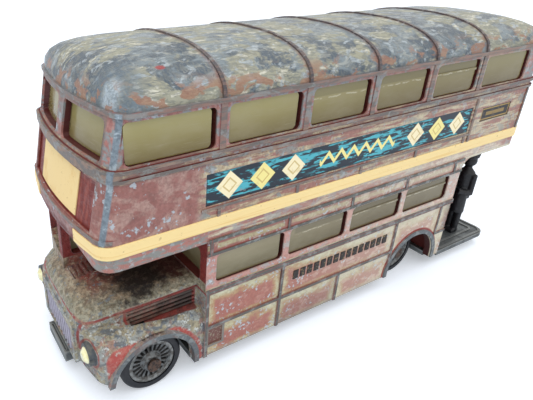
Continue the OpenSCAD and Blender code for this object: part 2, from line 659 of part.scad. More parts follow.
        // rear window of the closed quarter
        end_opening(rear_x - 1, rear_x + side_wall + 2, -12.5, -4, sill_z, head_z);
        // wheel arches
        for (x = arch_xs) translate([x, 0, arch_z]) rotate([90, 0, 0])
            for (s = [-1, 1]) translate([0, 0, s > 0 ? arch_in : -half_w - 2])
                cylinder(r = arch_r, h = half_w + 2 - arch_in, $fn = 64);
        // raised bottom edge ahead of the front arches
        span(front_axle_x + 1, front_x, -half_w - 2, half_w + 2, 0, nose_skirt);
        // grille recess, tab notch and headlamp pockets
        span(grille_x, front_x, -grille_y, grille_y, grille_z0, grille_z1);
        span(nose_x - 3, front_x + 1, -tab_y - seat_gap, tab_y + seat_gap, 0, tab_top + seat_gap);
        for (s = [-1, 1]) translate([lamp_x - 1, s * lamp_y, lamp_z]) rotate([0, 90, 0])
            cylinder(d = jewel_d + 2 * seat_gap, h = 5, $fn = 40);
        // seam lines of the bonnet and the radiator panel
        on_flank() span(0, bonnet_front_x - bulkhead_x + 0.3, -0.35, 1, -0.35, 0);
        for (s = [-1, 1]) span(nose_x - 1, front_x, s * 10 - 0.18, s * 10 + 0.18, 4, bonnet_front_h - 2.8);
        // louvre recess on the flank, with slats left standing
        on_flank() difference() {
            span(0.7, 13.4, -0.75, 1.5, -4.1, -0.5);
            for (i = [0:3]) span(0, 14, -1, -0.1, -3.75 + i * 0.88, -3.3 + i * 0.88);
        }
        // ribbed vent on the bonnet top
        on_bonnet() difference() {
            span(12.4, 18.6, -cab_inner_y + 0.5, 2.2, -0.6, 1);
            for (i = [0:5]) span(12.9 + i, 13.4 + i, -cab_inner_y, 3, -1, -0.12);
        }
        // small square recess behind the bulkhead
        for (s = [-1, 1]) span(bulkhead_x - 4.2, bulkhead_x - 1.1, s > 0 ? half_w - 0.3 : -half_w - 1,
            s > 0 ? half_w + 1 : -half_w + 0.3, skirt_height + 2.4, mid_z - 0.9);
    }
    // ledges for the saloon moulding, and the rivet posts on their bridges
    for (s = [-1, 1]) span(platform_x + 0.5, bulkhead_x - 0.5, s > 0 ? inner_w - 1 : -inner_w - 0.3,
        s > 0 ? inner_w + 0.3 : -inner_w + 1, floor_z - ledge_h, floor_z);
    difference() {
        for (x = post_x) {
            translate([x, 0, base_top]) cylinder(d = post_d, h = floor_z - base_top, $fn = 40);
            span(x - 1, x + 1, -inner_w - 0.3, inner_w + 0.3, floor_z - 1.2, floor_z);
        }
        for (x = post_x) translate([x, 0, base_top - 1])
            cylinder(d = rivet_d + 2 * seat_gap, h = rivet_l, $fn = 32);
    }
}

// Bare metal base: rear platform with raised treads, front tab, axle bearings
plate_y = inner_w - seat_gap;
front_well_y = tyre_in - 1.2 - free_gap;
rear_well_y = tyre_in - rear_inset - free_gap;
well_x = arch_r + 0.2;
platform_l = platform_x - rear_x - 0.8;
platform_w = half_w - stair_wall_y - 0.2;
module base_plate() color("gray") {
    difference() {
        union() {
            span(platform_x - 0.5, nose_x - 3.8, -plate_y, plate_y, base_height, base_top);
            // platform, rounded at its open corner
            translate([0, 0, base_height]) linear_extrude(base_t) {
                translate([rear_x + 3.3, -plate_y + 1])
                    square([platform_x - seat_gap - rear_x - 3.3, half_w + plate_y - 1]);
                translate([rear_x + 0.8, stair_wall_y + 0.2]) square([8, half_w - stair_wall_y - 2.7]);
                translate([rear_x + 3.3, half_w - 2.5]) circle(2.5);
            }
            // raised treads of the platform
            for (d = [0.4, 2.2])
                translate([(rear_x + 0.8 + platform_x) / 2, (half_w + stair_wall_y) / 2 + 0.1, base_top])
                linear_extrude(0.22) difference() {
                    rrect(platform_l - 2 * d, platform_w - 2 * d, 2.2 - d * 0.4);
                    rrect(platform_l - 1 - 2 * d, platform_w - 1 - 2 * d, 1.7 - d * 0.4);
                }
            // front tab
            span(nose_x - 4, nose_x - 2.9, -tab_y, tab_y, base_height, base_top);
            span(nose_x - 3, front_x, -tab_y, tab_y, base_height, tab_top);
            // axle bearings
            for (x = [front_axle_x, rear_axle_x], s = [-1, 1]) {
                span(x - 2.4, x + 2.4, s * block_y - block_w / 2, s * block_y + block_w / 2,
                    base_top - 0.3, axle_z);
                translate([x, s * block_y - block_w / 2, axle_z]) rotate([-90, 0, 0])
                    cylinder(r = 2.4, h = block_w, $fn = 40);
            }
        }
        // wheel cut-outs
        for (x = arch_xs, s = [-1, 1])
            let(well_y = x > 0 ? front_well_y : rear_well_y)
            span(x - well_x, x + well_x, s > 0 ? well_y : -half_w - 1, s > 0 ? half_w + 1 : -well_y,
                0, base_top + 1);
        // axle bores
        for (x = [front_axle_x, rear_axle_x]) translate([x, -half_w, axle_z]) rotate([-90, 0, 0])
            cylinder(r = axle_d / 2 + run_clear, h = body_width, $fn = 40);
        // rivet holes sunk for the heads, and the groove of the tab
        for (x = post_x) translate([x, 0, 0]) {
            cylinder(d = rivet_d + 2 * seat_gap, h = base_top + 1, $fn = 32);
            cylinder(d = rivet_head_d + 2 * seat_gap, h = base_height + rivet_head_h + seat_gap, $fn = 32);
        }
        span(nose_x + 0.2, nose_x + 0.5, -tab_y + 0.8, tab_y - 0.8, tab_top - 0.3, tab_top + 1);
    }
}

// Rivets that join the base to the posts, their heads flush with its underside
module base_rivets() color("silver") for (x = post_x) translate([x, 0, base_height]) {
    cylinder(d = rivet_head_d, h = rivet_head_h, $fn = 32);
    translate([0, 0, rivet_head_h - 0.1]) cylinder(d = rivet_d, h = rivet_l - rivet_head_h, $fn = 32);
}

// Axle with peened ends outside its two wheels
boss_out = tyre_out + 0.25;
module axle(x, inset) color("sienna") translate([x, 0, axle_z]) rotate([-90, 0, 0]) {
    reach = boss_out - inset + free_gap;
    translate([0, 0, -reach]) cylinder(d = axle_d, h = 2 * reach, $fn = 40);
    for (s = [-1, 1]) translate([0, 0, s > 0 ? reach - 0.05 : -reach - 0.35])
        cylinder(d = axle_d + 0.7, h = 0.4, $fn = 40);
}

// Cast hub: dished face with radial slots and a raised boss
hub_in = block_y + block_w / 2 + free_gap;
module hub(x, s, inset) color("silver")
    translate([x, 0, axle_z]) rotate([s > 0 ? -90 : 90, 0, 0]) difference() {
    face = tyre_out - inset;
    union() {
        translate([0, 0, tyre_in - inset + 0.2]) cylinder(d = hub_d, h = tyre_w - 0.4, $fn = 64);
        translate([0, 0, hub_in]) cylinder(d = axle_d + 1.4, h = face - 1 - hub_in, $fn = 40);
        translate([0, 0, face - 1]) cylinder(d = axle_d + 1.4, h = boss_out - tyre_out + 1, $fn = 40);
    }
    translate([0, 0, hub_in - 1]) cylinder(r = axle_d / 2 + run_clear, h = 20, $fn = 40);
    // dish round the boss
    translate([0, 0, face - 0.65]) difference() {
        cylinder(d = hub_d - 1.3, h = 2, $fn = 64);
        translate([0, 0, -1]) cylinder(d = axle_d + 1.4, h = 4, $fn = 40);
    }
    // slots
    for (i = [0:19]) rotate([0, 0, i * 18])
        span(axle_d / 2 + 1.15, hub_d / 2 - 0.75, -0.22, 0.22, face - 1.3, face);
}

// Smooth rubber tyre with rounded shoulders
tyre_round = min(0.7, (tyre_d - hub_d) / 4 - tyre_gap / 2);
module tyre(x, s, inset) color([0.1, 0.1, 0.12])
    translate([x, 0, axle_z]) rotate([s > 0 ? -90 : 90, 0, 0])
    translate([0, 0, tyre_in - inset]) rotate_extrude($fn = 72) {
        translate([hub_d / 2 + tyre_gap, 0]) square([tyre_d / 2 - hub_d / 2 - tyre_gap - tyre_round, tyre_w]);
        translate([tyre_d / 2 - tyre_round - 0.05, tyre_round])
            square([tyre_round + 0.05, tyre_w - 2 * tyre_round]);
        for (z = [tyre_round, tyre_w - tyre_round])
            translate([tyre_d / 2 - tyre_round, z]) circle(tyre_round, $fn = 24);
    }

// Headlamp jewel in its pocket
module headlamp(s) color("lemonchiffon") translate([lamp_x - 1, s * lamp_y, lamp_z]) rotate([0, 90, 0]) {
    cylinder(d = jewel_d, h = 1.1, $fn = 40);
    translate([0, 0, 1.1]) cylinder(d1 = jewel_d, d2 = jewel_d * 0.55, h = 0.6, $fn = 40);
}

// Silver insert in the radiator opening
module radiator_grille() color("silver") {
    span(grille_x, grille_x + 0.3, -grille_y + seat_gap, grille_y - seat_gap,
        grille_z0 + seat_gap, grille_z1 - seat_gap);
    for (i = [0:10])
        span(grille_x + 0.2, grille_x + 0.6, -grille_y + 0.5 + i * 1.34, -grille_y + 0.9 + i * 1.34,
            grille_z0 + 0.3, grille_z1 - 0.3);
}

// Standing figure on the platform: coat, bent arms, bag, cap
fig_x = rear_x + 8.6;
fig_y = half_w - 4.9;
fig_s = figure_h / 23;
module conductor_figure() color([0.1, 0.1, 0.12])
    translate([fig_x, fig_y, base_top]) scale([fig_s, fig_s, fig_s]) {
    for (s = [-1, 1]) {
        translate([0, s * 0.8, 0]) cylinder(r1 = 0.75, r2 = 0.9, h = 7, $fn = 24);
        span(-0.8, 1.8, s * 0.8 - 0.65, s * 0.8 + 0.65, 0, 1);
        translate([0, s * 2.05, 11.6]) cylinder(r = 0.75, h = 5.6, $fn = 20);
        translate([0.2, s * 2, 12]) rotate([0, 75, s * -25]) cylinder(r = 0.8, h = 3.4, $fn = 20);
    }
    translate([0, 0, 6]) cylinder(r1 = 1.8, r2 = 1.6, h = 5.6, $fn = 32);
    translate([0, 0, 11.4]) cylinder(r1 = 1.6, r2 = 1.9, h = 6, $fn = 32);
    translate([0, 0, 17.3]) cylinder(r1 = 1.9, r2 = 0.9, h = 1.2, $fn = 32);
    translate([0, 0, 18]) cylinder(r = 0.85, h = 1.4, $fn = 24);
    translate([0, 0, 20.4]) sphere(r = 1.6, $fn = 32);
    translate([0, 0, 21.4]) cylinder(r1 = 1.75, r2 = 1.95, h = 1.4, $fn = 32);
    translate([0.9, 0, 21.35]) cylinder(r = 1.45, h = 0.35, $fn = 32);
    span(-2.5, -1.2, -1.2, 1.2, 9.4, 12);
}

// Seated driver on a block in the cab
drv_x = (bulkhead_x + cab_in_x) / 2 - 0.5;
drv_y = (-inner_w + cab_side_in) / 2;
module driver_figure() color([0.1, 0.1, 0.12]) translate([drv_x, drv_y, cab_floor]) {
    span(-3, 1.6, -2.4, 2.4, 0, 3);
    span(-3.2, -2.2, -2.4, 2.4, 0, 6.5);
    translate([-0.9, 0, 2.6]) cylinder(r1 = 1.7, r2 = 2.1, h = 4.8, $fn = 32);
    translate([-0.9, 0, 7.2]) cylinder(r1 = 2.1, r2 = 0.8, h = 1, $fn = 32);
    translate([-0.9, 0, 9.2]) sphere(r = 1.6, $fn = 32);
    translate([-0.9, 0, 10]) cylinder(r1 = 1.7, r2 = 1.9, h = 1, $fn = 32);
    for (s = [-1, 1]) {
        translate([-0.6, s * 1.8, 6.4]) rotate([0, 105, s * -12]) cylinder(r = 0.65, h = 4.4, $fn = 20);
        translate([0, s * 1.1, 2.6]) rotate([0, 90, 0]) cylinder(r = 0.95, h = 4, $fn = 20);
    }
    // steering wheel held in the hands
    translate([3.1, 0, 4.6]) rotate([0, 70, 0]) cylinder(r = 2.1, h = 0.7, $fn = 32);
    translate([3.3, 0, 0]) cylinder(r = 0.55, h = 4.6, $fn = 20);
}

// Saloon seats on their floor
low_seat_h = 2.8;
low_seat_back_h = 8;
floor_t = 0.9;
module lower_deck_seats() color("saddlebrown") {
    span(platform_x + bulk_t + seat_gap, bulk_in - seat_gap, -inner_w + seat_gap, inner_w - seat_gap,
        floor_z, floor_z + floor_t);
    for (i = [0:3], s = [-1, 1])
        bench(pillars[i + 1] + seat_in + 0.5, s > 0 ? aisle : -aisle - seat_w,
            s > 0 ? aisle + seat_w : -aisle, floor_z + floor_t - 0.3, low_seat_h, low_seat_back_h);
}

// Stair from the platform to the upper deck
step_n = 7;
stair_rise = (band_z - base_top) / step_n;
stair_run = (stair_x1 - stair_x0 - 1) / step_n;
module staircase() color("saddlebrown") {
    for (i = [0:step_n - 1])
        span(stair_x0 + 0.5 + i * stair_run,
            stair_x0 + 0.5 + (i + 1) * stair_run + (i < step_n - 1 ? 0.4 : 0),
            stair_y0 + 0.3, stair_y1 - 0.3,
            base_top + i * stair_rise * 0.5, base_top + (i + 1) * stair_rise - 0.4);
    span(stair_x0 + 0.5, stair_x1 - 0.5, stair_y0 + 0.3, stair_y0 + 1, base_top, canopy_z - 1);
}

upper_body();
deck_moulding();
lower_body();
upper_glazing();
lower_glazing();
cab_glazing();
base_plate();
base_rivets();
axle(front_axle_x, 0);  // front_axle
axle(rear_axle_x, rear_inset);  // rear_axle
hub(front_axle_x, 1, 0);  // hub_front_left
hub(front_axle_x, -1, 0);  // hub_front_right
hub(rear_axle_x, 1, rear_inset);  // hub_rear_left
hub(rear_axle_x, -1, rear_inset);  // hub_rear_right
tyre(front_axle_x, 1, 0);  // tyre_front_left
tyre(front_axle_x, -1, 0);  // tyre_front_right
tyre(rear_axle_x, 1, rear_inset);  // tyre_rear_left
tyre(rear_axle_x, -1, rear_inset);  // tyre_rear_right
headlamp(1);  // headlamp_left
headlamp(-1);  // headlamp_right
radiator_grille();
conductor_figure();
driver_figure();
lower_deck_seats();
staircase();
advert_label(1);  // advert_label_left
advert_label(-1);  // advert_label_right
blind_label_front();
blind_label_rear();
side_label(1);  // side_label_left
side_label(-1);  // side_label_right
small_label(1);  // small_label_left
small_label(-1);  // small_label_right
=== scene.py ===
"""Worn toy double-deck bus on a white table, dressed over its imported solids."""

import math

import bpy
from mathutils import Matrix, Vector


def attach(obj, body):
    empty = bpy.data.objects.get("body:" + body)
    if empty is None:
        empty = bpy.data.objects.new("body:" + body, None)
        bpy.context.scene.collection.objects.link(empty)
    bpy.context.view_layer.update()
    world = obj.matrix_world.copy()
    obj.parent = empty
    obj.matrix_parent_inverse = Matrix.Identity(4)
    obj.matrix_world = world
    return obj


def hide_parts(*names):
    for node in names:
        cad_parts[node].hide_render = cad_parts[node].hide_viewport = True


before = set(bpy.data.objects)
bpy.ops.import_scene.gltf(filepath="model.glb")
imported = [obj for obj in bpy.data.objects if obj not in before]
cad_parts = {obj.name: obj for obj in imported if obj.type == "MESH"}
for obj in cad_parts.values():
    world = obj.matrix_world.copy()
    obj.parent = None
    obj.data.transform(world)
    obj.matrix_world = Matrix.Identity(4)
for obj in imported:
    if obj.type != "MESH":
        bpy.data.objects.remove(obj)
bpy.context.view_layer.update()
scene = bpy.context.scene
scene.view_settings.view_transform = "Standard"

# The table and its light: a white sheet in a light tent, lit from above by one broad soft lamp.
# The camera stands close to the toy's front nearside corner, a little above its roof.
PHOTO_WIDTH = 533
PHOTO_HEIGHT = 400
FOCAL_PIXELS = 496.4
VIEW_CENTRE = (168.3, 183.0)
EYE = Vector((0.07421, 0.07405, 0.07491))
LOOK = Vector((-0.44186, -0.77746, -0.44757))
ROLL = math.radians(0.143)
SENSOR_WIDTH = 36.0
NEAR_LIMIT = 0.005
TENT_LIGHT = 0.7
TABLE_SIZE = 3.0
TABLE_COLOUR = (0.83, 0.89, 0.98, 1.0)
TABLE_GLOW_COLOUR = (0.95, 0.97, 0.99, 1.0)
TABLE_GLOW = 0.32
LAMP_SIZE = 1.2
LAMP_PLACE = (0.15, 0.25, 1.0)
LAMP_TURN = (-0.22, 0.14, 0.0)
LAMP_POWER = 8.2

camera_data = bpy.data.cameras.new("camera")
camera_data.sensor_fit = "HORIZONTAL"
camera_data.sensor_width = SENSOR_WIDTH
camera_data.lens = SENSOR_WIDTH * FOCAL_PIXELS / PHOTO_WIDTH
camera_data.shift_x = (PHOTO_WIDTH / 2 - VIEW_CENTRE[0]) / PHOTO_WIDTH
camera_data.shift_y = (VIEW_CENTRE[1] - PHOTO_HEIGHT / 2) / PHOTO_WIDTH
camera_data.clip_start = NEAR_LIMIT
camera = bpy.data.objects.new("camera", camera_data)
scene.collection.objects.link(camera)
facing = LOOK.to_track_quat("-Z", "Y").to_matrix() @ Matrix.Rotation(ROLL, 3, "Z")
camera.matrix_world = Matrix.Translation(EYE) @ facing.to_4x4()
scene.camera = camera

tent = bpy.data.worlds.new("white tent")
scene.world = tent
tent.use_nodes = True
tent_nodes = tent.node_tree.nodes
tent_links = tent.node_tree.links
backdrop = tent_nodes["Background"]
backdrop.inputs["Color"].default_value = (1.0, 1.0, 1.0, 1.0)
ray = tent_nodes.new("ShaderNodeLightPath")
seen = ray.outputs["Is Camera Ray"]
for other_ray in ("Is Glossy Ray", "Is Transmission Ray"):
    either = tent_nodes.new("ShaderNodeMath")
    either.operation = "MAXIMUM"
    tent_links.new(seen, either.inputs[0])
    tent_links.new(ray.outputs[other_ray], either.inputs[1])
    seen = either.outputs[0]
strength = tent_nodes.new("ShaderNodeMapRange")
tent_links.new(seen, strength.inputs["Value"])
strength.inputs["To Min"].default_value = TENT_LIGHT
strength.inputs["To Max"].default_value = 1.0
tent_links.new(strength.outputs[0], backdrop.inputs["Strength"])

lamp_data = bpy.data.lights.new("tent lamp", "AREA")
lamp_data.size = LAMP_SIZE
lamp_data.energy = LAMP_POWER
lamp = bpy.data.objects.new("tent lamp", lamp_data)
lamp.location = LAMP_PLACE
lamp.rotation_euler = LAMP_TURN
scene.collection.objects.link(lamp)

bpy.ops.object.select_all(action="DESELECT")
bpy.ops.mesh.primitive_plane_add(size=TABLE_SIZE)
table = bpy.context.active_object
table.name = "table"
table_sheet = bpy.data.materials.new("white sheet")
table_sheet.use_nodes = True
sheet_nodes = table_sheet.node_tree.nodes
sheet_links = table_sheet.node_tree.links
sheet_shader = sheet_nodes["Principled BSDF"]
sheet_shader.inputs["Base Color"].default_value = TABLE_COLOUR
sheet_shader.inputs["Roughness"].default_value = 0.9
sheet_shader.inputs["Specular IOR Level"].default_value = 0.1
sheet_ray = sheet_nodes.new("ShaderNodeLightPath")
sheet_seen = sheet_nodes.new("ShaderNodeMath")
sheet_seen.operation = "MULTIPLY"
sheet_links.new(sheet_ray.outputs["Is Camera Ray"], sheet_seen.inputs[0])
sheet_seen.inputs[1].default_value = TABLE_GLOW
sheet_shader.inputs["Emission Color"].default_value = TABLE_GLOW_COLOUR
sheet_links.new(sheet_seen.outputs[0], sheet_shader.inputs["Emission Strength"])
table.data.materials.append(table_sheet)


# The base: a bare cast plate that closes the toy from below and carries the rear platform,
# the front tab and the axle bearings. Three rivets hold it; its metal is dull and stained.
METAL_GREY = (102, 107, 108)
METAL_STAIN = (72, 76, 77)
METAL_RUBBED = (158, 160, 157)
METAL_DIRT = (52, 51, 47)
RIVET_GREY = (138, 138, 134)
MILLIMETRE = 0.001
WEAR_SAMPLES = 6
MIX_SHARE, MIX_BELOW, MIX_ABOVE, MIX_COLOUR = 0, 6, 7, 2
WELD_REACH = 0.002 * MILLIMETRE
FLAT_ANGLE = math.radians(0.6)
EDGE_ANGLE = math.radians(35)
SMOOTH_ANGLE = math.radians(32)


def srgb(colour):
    """A screen colour in 0 to 255 as the linear colour that a shader takes."""
    shares = [value / 255 for value in colour]
    linear = [s / 12.92 if s <= 0.04045 else ((s + 0.055) / 1.055) ** 2.4 for s in shares]
    return (*linear, 1.0)


def join(tree, socket, value):
    """Gives a shader input a plain value or a link."""
    if isinstance(value, Field):
        tree.links.new(value.socket, socket)
    elif isinstance(value, tuple) and len(value) == 3 and socket.type == "RGBA":
        socket.default_value = srgb(value)
    else:
        socket.default_value = value


class Field:
    """A value that changes over a surface; its arithmetic makes shader nodes."""

    def __init__(self, tree, socket):
        self.tree = tree
        self.socket = socket

    def math(self, operation, *others):
        node = self.tree.nodes.new("ShaderNodeMath")
        node.operation = operation
        for socket, value in zip(node.inputs, (self, *others)):
            join(self.tree, socket, value)
        return Field(self.tree, node.outputs[0])

    def __add__(self, other):
        return self.math("ADD", other)

    def __sub__(self, other):
        return self.math("SUBTRACT", other)

    def __rsub__(self, other):
        return self.math("MULTIPLY_ADD", -1.0, other)

    def __mul__(self, other):
        return self.math("MULTIPLY", other)

    def __abs__(self):
        return self.math("ABSOLUTE")

    def least(self, *others):
        """The smallest of several values."""
        result = self
        for other in others:
            result = result.math("MINIMUM", other)
        return result

    def most(self, *others):
        """The largest of several values."""
        result = self
        for other in others:
            result = result.math("MAXIMUM", other)
        return result

    def hypot(self, other):
        """The length of two distances that lie at a right angle."""
        return (self.math("POWER", 2.0) + other.math("POWER", 2.0)).math("SQRT")

    def fold(self, length):
        """Distance to the nearest of a row of lines, two lengths apart."""
        return self.math("PINGPONG", length)

    def rise(self, low, high):
        """From 0 at low to 1 at high, smoothly; low may be the larger."""
        node = self.tree.nodes.new("ShaderNodeMapRange")
        node.interpolation_type = "SMOOTHSTEP"
        join(self.tree, node.inputs["Value"], self)
        node.inputs["From Min"].default_value = low
        node.inputs["From Max"].default_value = high
        return Field(self.tree, node.outputs[0])

    def within(self, low, high, soft):
        """1 between two values and 0 outside, with soft ends."""
        return self.rise(low - soft, low + soft) * self.rise(high + soft, high - soft)


def make_patch_group():
    """Node group: blotches of a coat, from noise stretched along a grain."""
    group = bpy.data.node_groups.new("paint patches", "ShaderNodeTree")
    for name in ("Point", "Grain", "Shift", "Detail", "Warp", "Low", "High"):
        kind = "NodeSocketVector" if name in ("Point", "Grain") else "NodeSocketFloat"
        group.interface.new_socket(name, in_out="INPUT", socket_type=kind)
    group.interface.new_socket("Mask", in_out="OUTPUT", socket_type="NodeSocketFloat")
    entry = group.nodes.new("NodeGroupInput")
    end = group.nodes.new("NodeGroupOutput")
    grained = group.nodes.new("ShaderNodeVectorMath")
    grained.operation = "MULTIPLY_ADD"
    group.links.new(entry.outputs["Point"], grained.inputs[0])
    group.links.new(entry.outputs["Grain"], grained.inputs[1])
    group.links.new(entry.outputs["Shift"], grained.inputs[2])
    noise = group.nodes.new("ShaderNodeTexNoise")
    noise.inputs["Scale"].default_value = 1.0
    noise.inputs["Roughness"].default_value = 0.6
    group.links.new(grained.outputs[0], noise.inputs["Vector"])
    group.links.new(entry.outputs["Detail"], noise.inputs["Detail"])
    group.links.new(entry.outputs["Warp"], noise.inputs["Distortion"])
    limits = group.nodes.new("ShaderNodeMapRange")
    limits.interpolation_type = "SMOOTHSTEP"
    group.links.new(noise.outputs[0], limits.inputs["Value"])
    group.links.new(entry.outputs["Low"], limits.inputs["From Min"])
    group.links.new(entry.outputs["High"], limits.inputs["From Max"])
    group.links.new(limits.outputs[0], end.inputs["Mask"])
    return group


def make_wear_group():
    """Node group: where an edge stands out and where a corner lies deep, within a reach."""
    group = bpy.data.node_groups.new("edges and grooves", "ShaderNodeTree")
    group.interface.new_socket("Reach", in_out="INPUT", socket_type="NodeSocketFloat")
    entry = group.nodes.new("NodeGroupInput")
    end = group.nodes.new("NodeGroupOutput")
    for name, inside in (("Edge", True), ("Groove", False)):
        group.interface.new_socket(name, in_out="OUTPUT", socket_type="NodeSocketFloat")
        near = group.nodes.new("ShaderNodeAmbientOcclusion")
        near.inside = inside
        near.only_local = True
        near.samples = WEAR_SAMPLES
        group.links.new(entry.outputs["Reach"], near.inputs["Distance"])
        closed = group.nodes.new("ShaderNodeMath")
        closed.operation = "SUBTRACT"
        closed.inputs[0].default_value = 1.0
        group.links.new(near.outputs["AO"], closed.inputs[1])
        group.links.new(closed.outputs[0], end.inputs[name])
    return group


patch_group = make_patch_group()
wear_group = make_wear_group()


class Finish:
    """A material: its shader, and the surface point in millimetres as x, y and z."""

    def __init__(self, name, roughness, metallic=0.0):
        self.material = bpy.data.materials.new(name)
        self.material.use_nodes = True
        self.tree = self.material.node_tree
        self.shader = self.tree.nodes["Principled BSDF"]
        self.shader.inputs["Roughness"].default_value = roughness
        self.shader.inputs["Metallic"].default_value = metallic
        coordinates = self.tree.nodes.new("ShaderNodeTexCoord")
        self.point = self.tree.nodes.new("ShaderNodeVectorMath")
        self.point.operation = "SCALE"
        self.point.inputs["Scale"].default_value = 1 / MILLIMETRE
        self.tree.links.new(coordinates.outputs["Object"], self.point.inputs[0])
        axes = self.tree.nodes.new("ShaderNodeSeparateXYZ")
        self.tree.links.new(self.point.outputs[0], axes.inputs[0])
        self.x, self.y, self.z = (Field(self.tree, socket) for socket in axes.outputs)

    def patches(self, grain, shift, low, high, detail=4.0, warp=0.0):
        """Blotches of a coat: grain is how fine they are along x, y and z."""
        node = self.tree.nodes.new("ShaderNodeGroup")
        node.node_tree = patch_group
        self.tree.links.new(self.point.outputs[0], node.inputs["Point"])
        node.inputs["Grain"].default_value = grain
        values = {"Shift": shift, "Detail": detail, "Warp": warp, "Low": low, "High": high}
        for name, value in values.items():
            node.inputs[name].default_value = value
        return Field(self.tree, node.outputs["Mask"])

    def wear(self, reach):
        """Where edges stand out and where corners lie deep, within a reach in millimetres."""
        node = self.tree.nodes.new("ShaderNodeGroup")
        node.node_tree = wear_group
        node.inputs["Reach"].default_value = reach * MILLIMETRE
        return Field(self.tree, node.outputs["Edge"]), Field(self.tree, node.outputs["Groove"])

    def coats(self, ground, *layers):
        """A ground colour with coats over it, each through its own mask."""
        colour = ground
        for mask, coat in layers:
            mix = self.tree.nodes.new("ShaderNodeMix")
            mix.data_type = "RGBA"
            join(self.tree, mix.inputs[MIX_SHARE], mask)
            join(self.tree, mix.inputs[MIX_BELOW], colour)
            join(self.tree, mix.inputs[MIX_ABOVE], coat)
            colour = Field(self.tree, mix.outputs[MIX_COLOUR])
        return colour

    def set(self, **inputs):
        """Sets shader inputs by name, with _ for a space: a plain value or a field."""
        for name, value in inputs.items():
            join(self.tree, self.shader.inputs[name.replace("_", " ")], value)

    def relief(self, height, depth):
        """A bump whose height of 1 stands for a depth in millimetres."""
        bump = self.tree.nodes.new("ShaderNodeBump")
        bump.inputs["Strength"].default_value = 1.0
        bump.inputs["Distance"].default_value = depth * MILLIMETRE
        join(self.tree, bump.inputs["Height"], height)
        self.tree.links.new(bump.outputs[0], self.shader.inputs["Normal"])
        return self


def finished_copy(node, body="bus", edge=0.0, cuts=(), clean=True):
    """A copy of a solid with clean flats and smooth rounds, which replaces the solid.

    edge is the width in millimetres of edges that the casting or moulding leaves soft, cuts are
    planes where faces are split, and clean joins the triangles of each flat.
    """
    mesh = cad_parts[node].data.copy()
    piece = bpy.data.objects.new(node + "_finished", mesh)
    scene.collection.objects.link(piece)
    bpy.ops.object.select_all(action="DESELECT")
    piece.select_set(True)
    bpy.context.view_layer.objects.active = piece
    mesh.materials.clear()
    bpy.ops.object.mode_set(mode="EDIT")
    bpy.ops.mesh.select_all(action="SELECT")
    bpy.ops.mesh.remove_doubles(threshold=WELD_REACH)
    if clean:
        bpy.ops.mesh.dissolve_limited(angle_limit=FLAT_ANGLE)
    for place, normal in cuts:
        bpy.ops.mesh.select_all(action="SELECT")
        bpy.ops.mesh.bisect(plane_co=place, plane_no=normal)
    bpy.ops.object.mode_set(mode="OBJECT")
    if edge:
        ease = piece.modifiers.new("eased edges", "BEVEL")
        ease.width = edge * MILLIMETRE
        ease.segments = 2
        ease.limit_method = "ANGLE"
        ease.angle_limit = EDGE_ANGLE
        ease.use_clamp_overlap = False
        bpy.ops.object.modifier_apply(modifier=ease.name)
    bpy.ops.object.shade_smooth_by_angle(angle=SMOOTH_ANGLE)
    level = piece.modifiers.new("level flats", "WEIGHTED_NORMAL")
    level.keep_sharp = True
    level.weight = 100
    bpy.ops.object.modifier_apply(modifier=level.name)
    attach(piece, body)
    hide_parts(node)
    return piece


def bare_metal(name, grey, roughness):
    """Dull cast metal: stains, rubbed edges and dirt in the corners."""
    metal = Finish(name, roughness, metallic=0.45)
    edge, groove = metal.wear(0.6)
    stain = metal.patches((0.35, 0.35, 0.35), 3.1, 0.45, 0.62)
    specks = metal.patches((3.0, 3.0, 3.0), 7.7, 0.56, 0.66, detail=2.0)
    colour = metal.coats(
        grey,
        (stain * 0.7, METAL_STAIN),
        (specks * 0.35, METAL_DIRT),
        (edge.rise(0.1, 0.55) * 0.8, METAL_RUBBED),
        (groove.rise(0.25, 0.8), METAL_DIRT))
    metal.set(Base_Color=colour, Roughness=stain * 0.2 + (roughness - 0.1))
    return metal.relief(specks, 0.02)


base_plate = finished_copy("base_plate")
base_plate.data.materials.append(bare_metal("bare base metal", METAL_GREY, 0.5).material)
rivets = finished_copy("base_rivets", edge=0.1)
rivets.data.materials.append(bare_metal("peened rivet metal", RIVET_GREY, 0.42).material)


# The running gear: two steel axles with peened ends, gone brown, four cast hubs with twenty
# slots each, and smooth black tyres pushed over them.
RUST_BROWN = (92, 70, 58)
RUST_DARK = (48, 38, 34)
HUB_GREY = (116, 119, 120)
HUB_BROWN = (70, 64, 58)
HUB_SLOTS = 20
SLOT_RADII = (2.1, 3.75)
HUB_RIM_RADII = (3.9, 4.5)
FRONT_AXLE_X, REAR_AXLE_X, AXLE_Z = 44.3, -23.6, 6.05
BETWEEN_AXLES = (9.0, 11.0)
SLOT_BLACK = (20, 19, 19)
TYRE_BLACK = (13, 15, 22)
TYRE_DUST = (44, 47, 56)

rust = Finish("rusty axle steel", 0.6, metallic=0.35)
rust_spots = rust.patches((1.6, 1.6, 1.6), 1.3, 0.42, 0.6)
rust.set(Base_Color=rust.coats(RUST_BROWN, (rust_spots, RUST_DARK)))
rust.relief(rust_spots, 0.04)

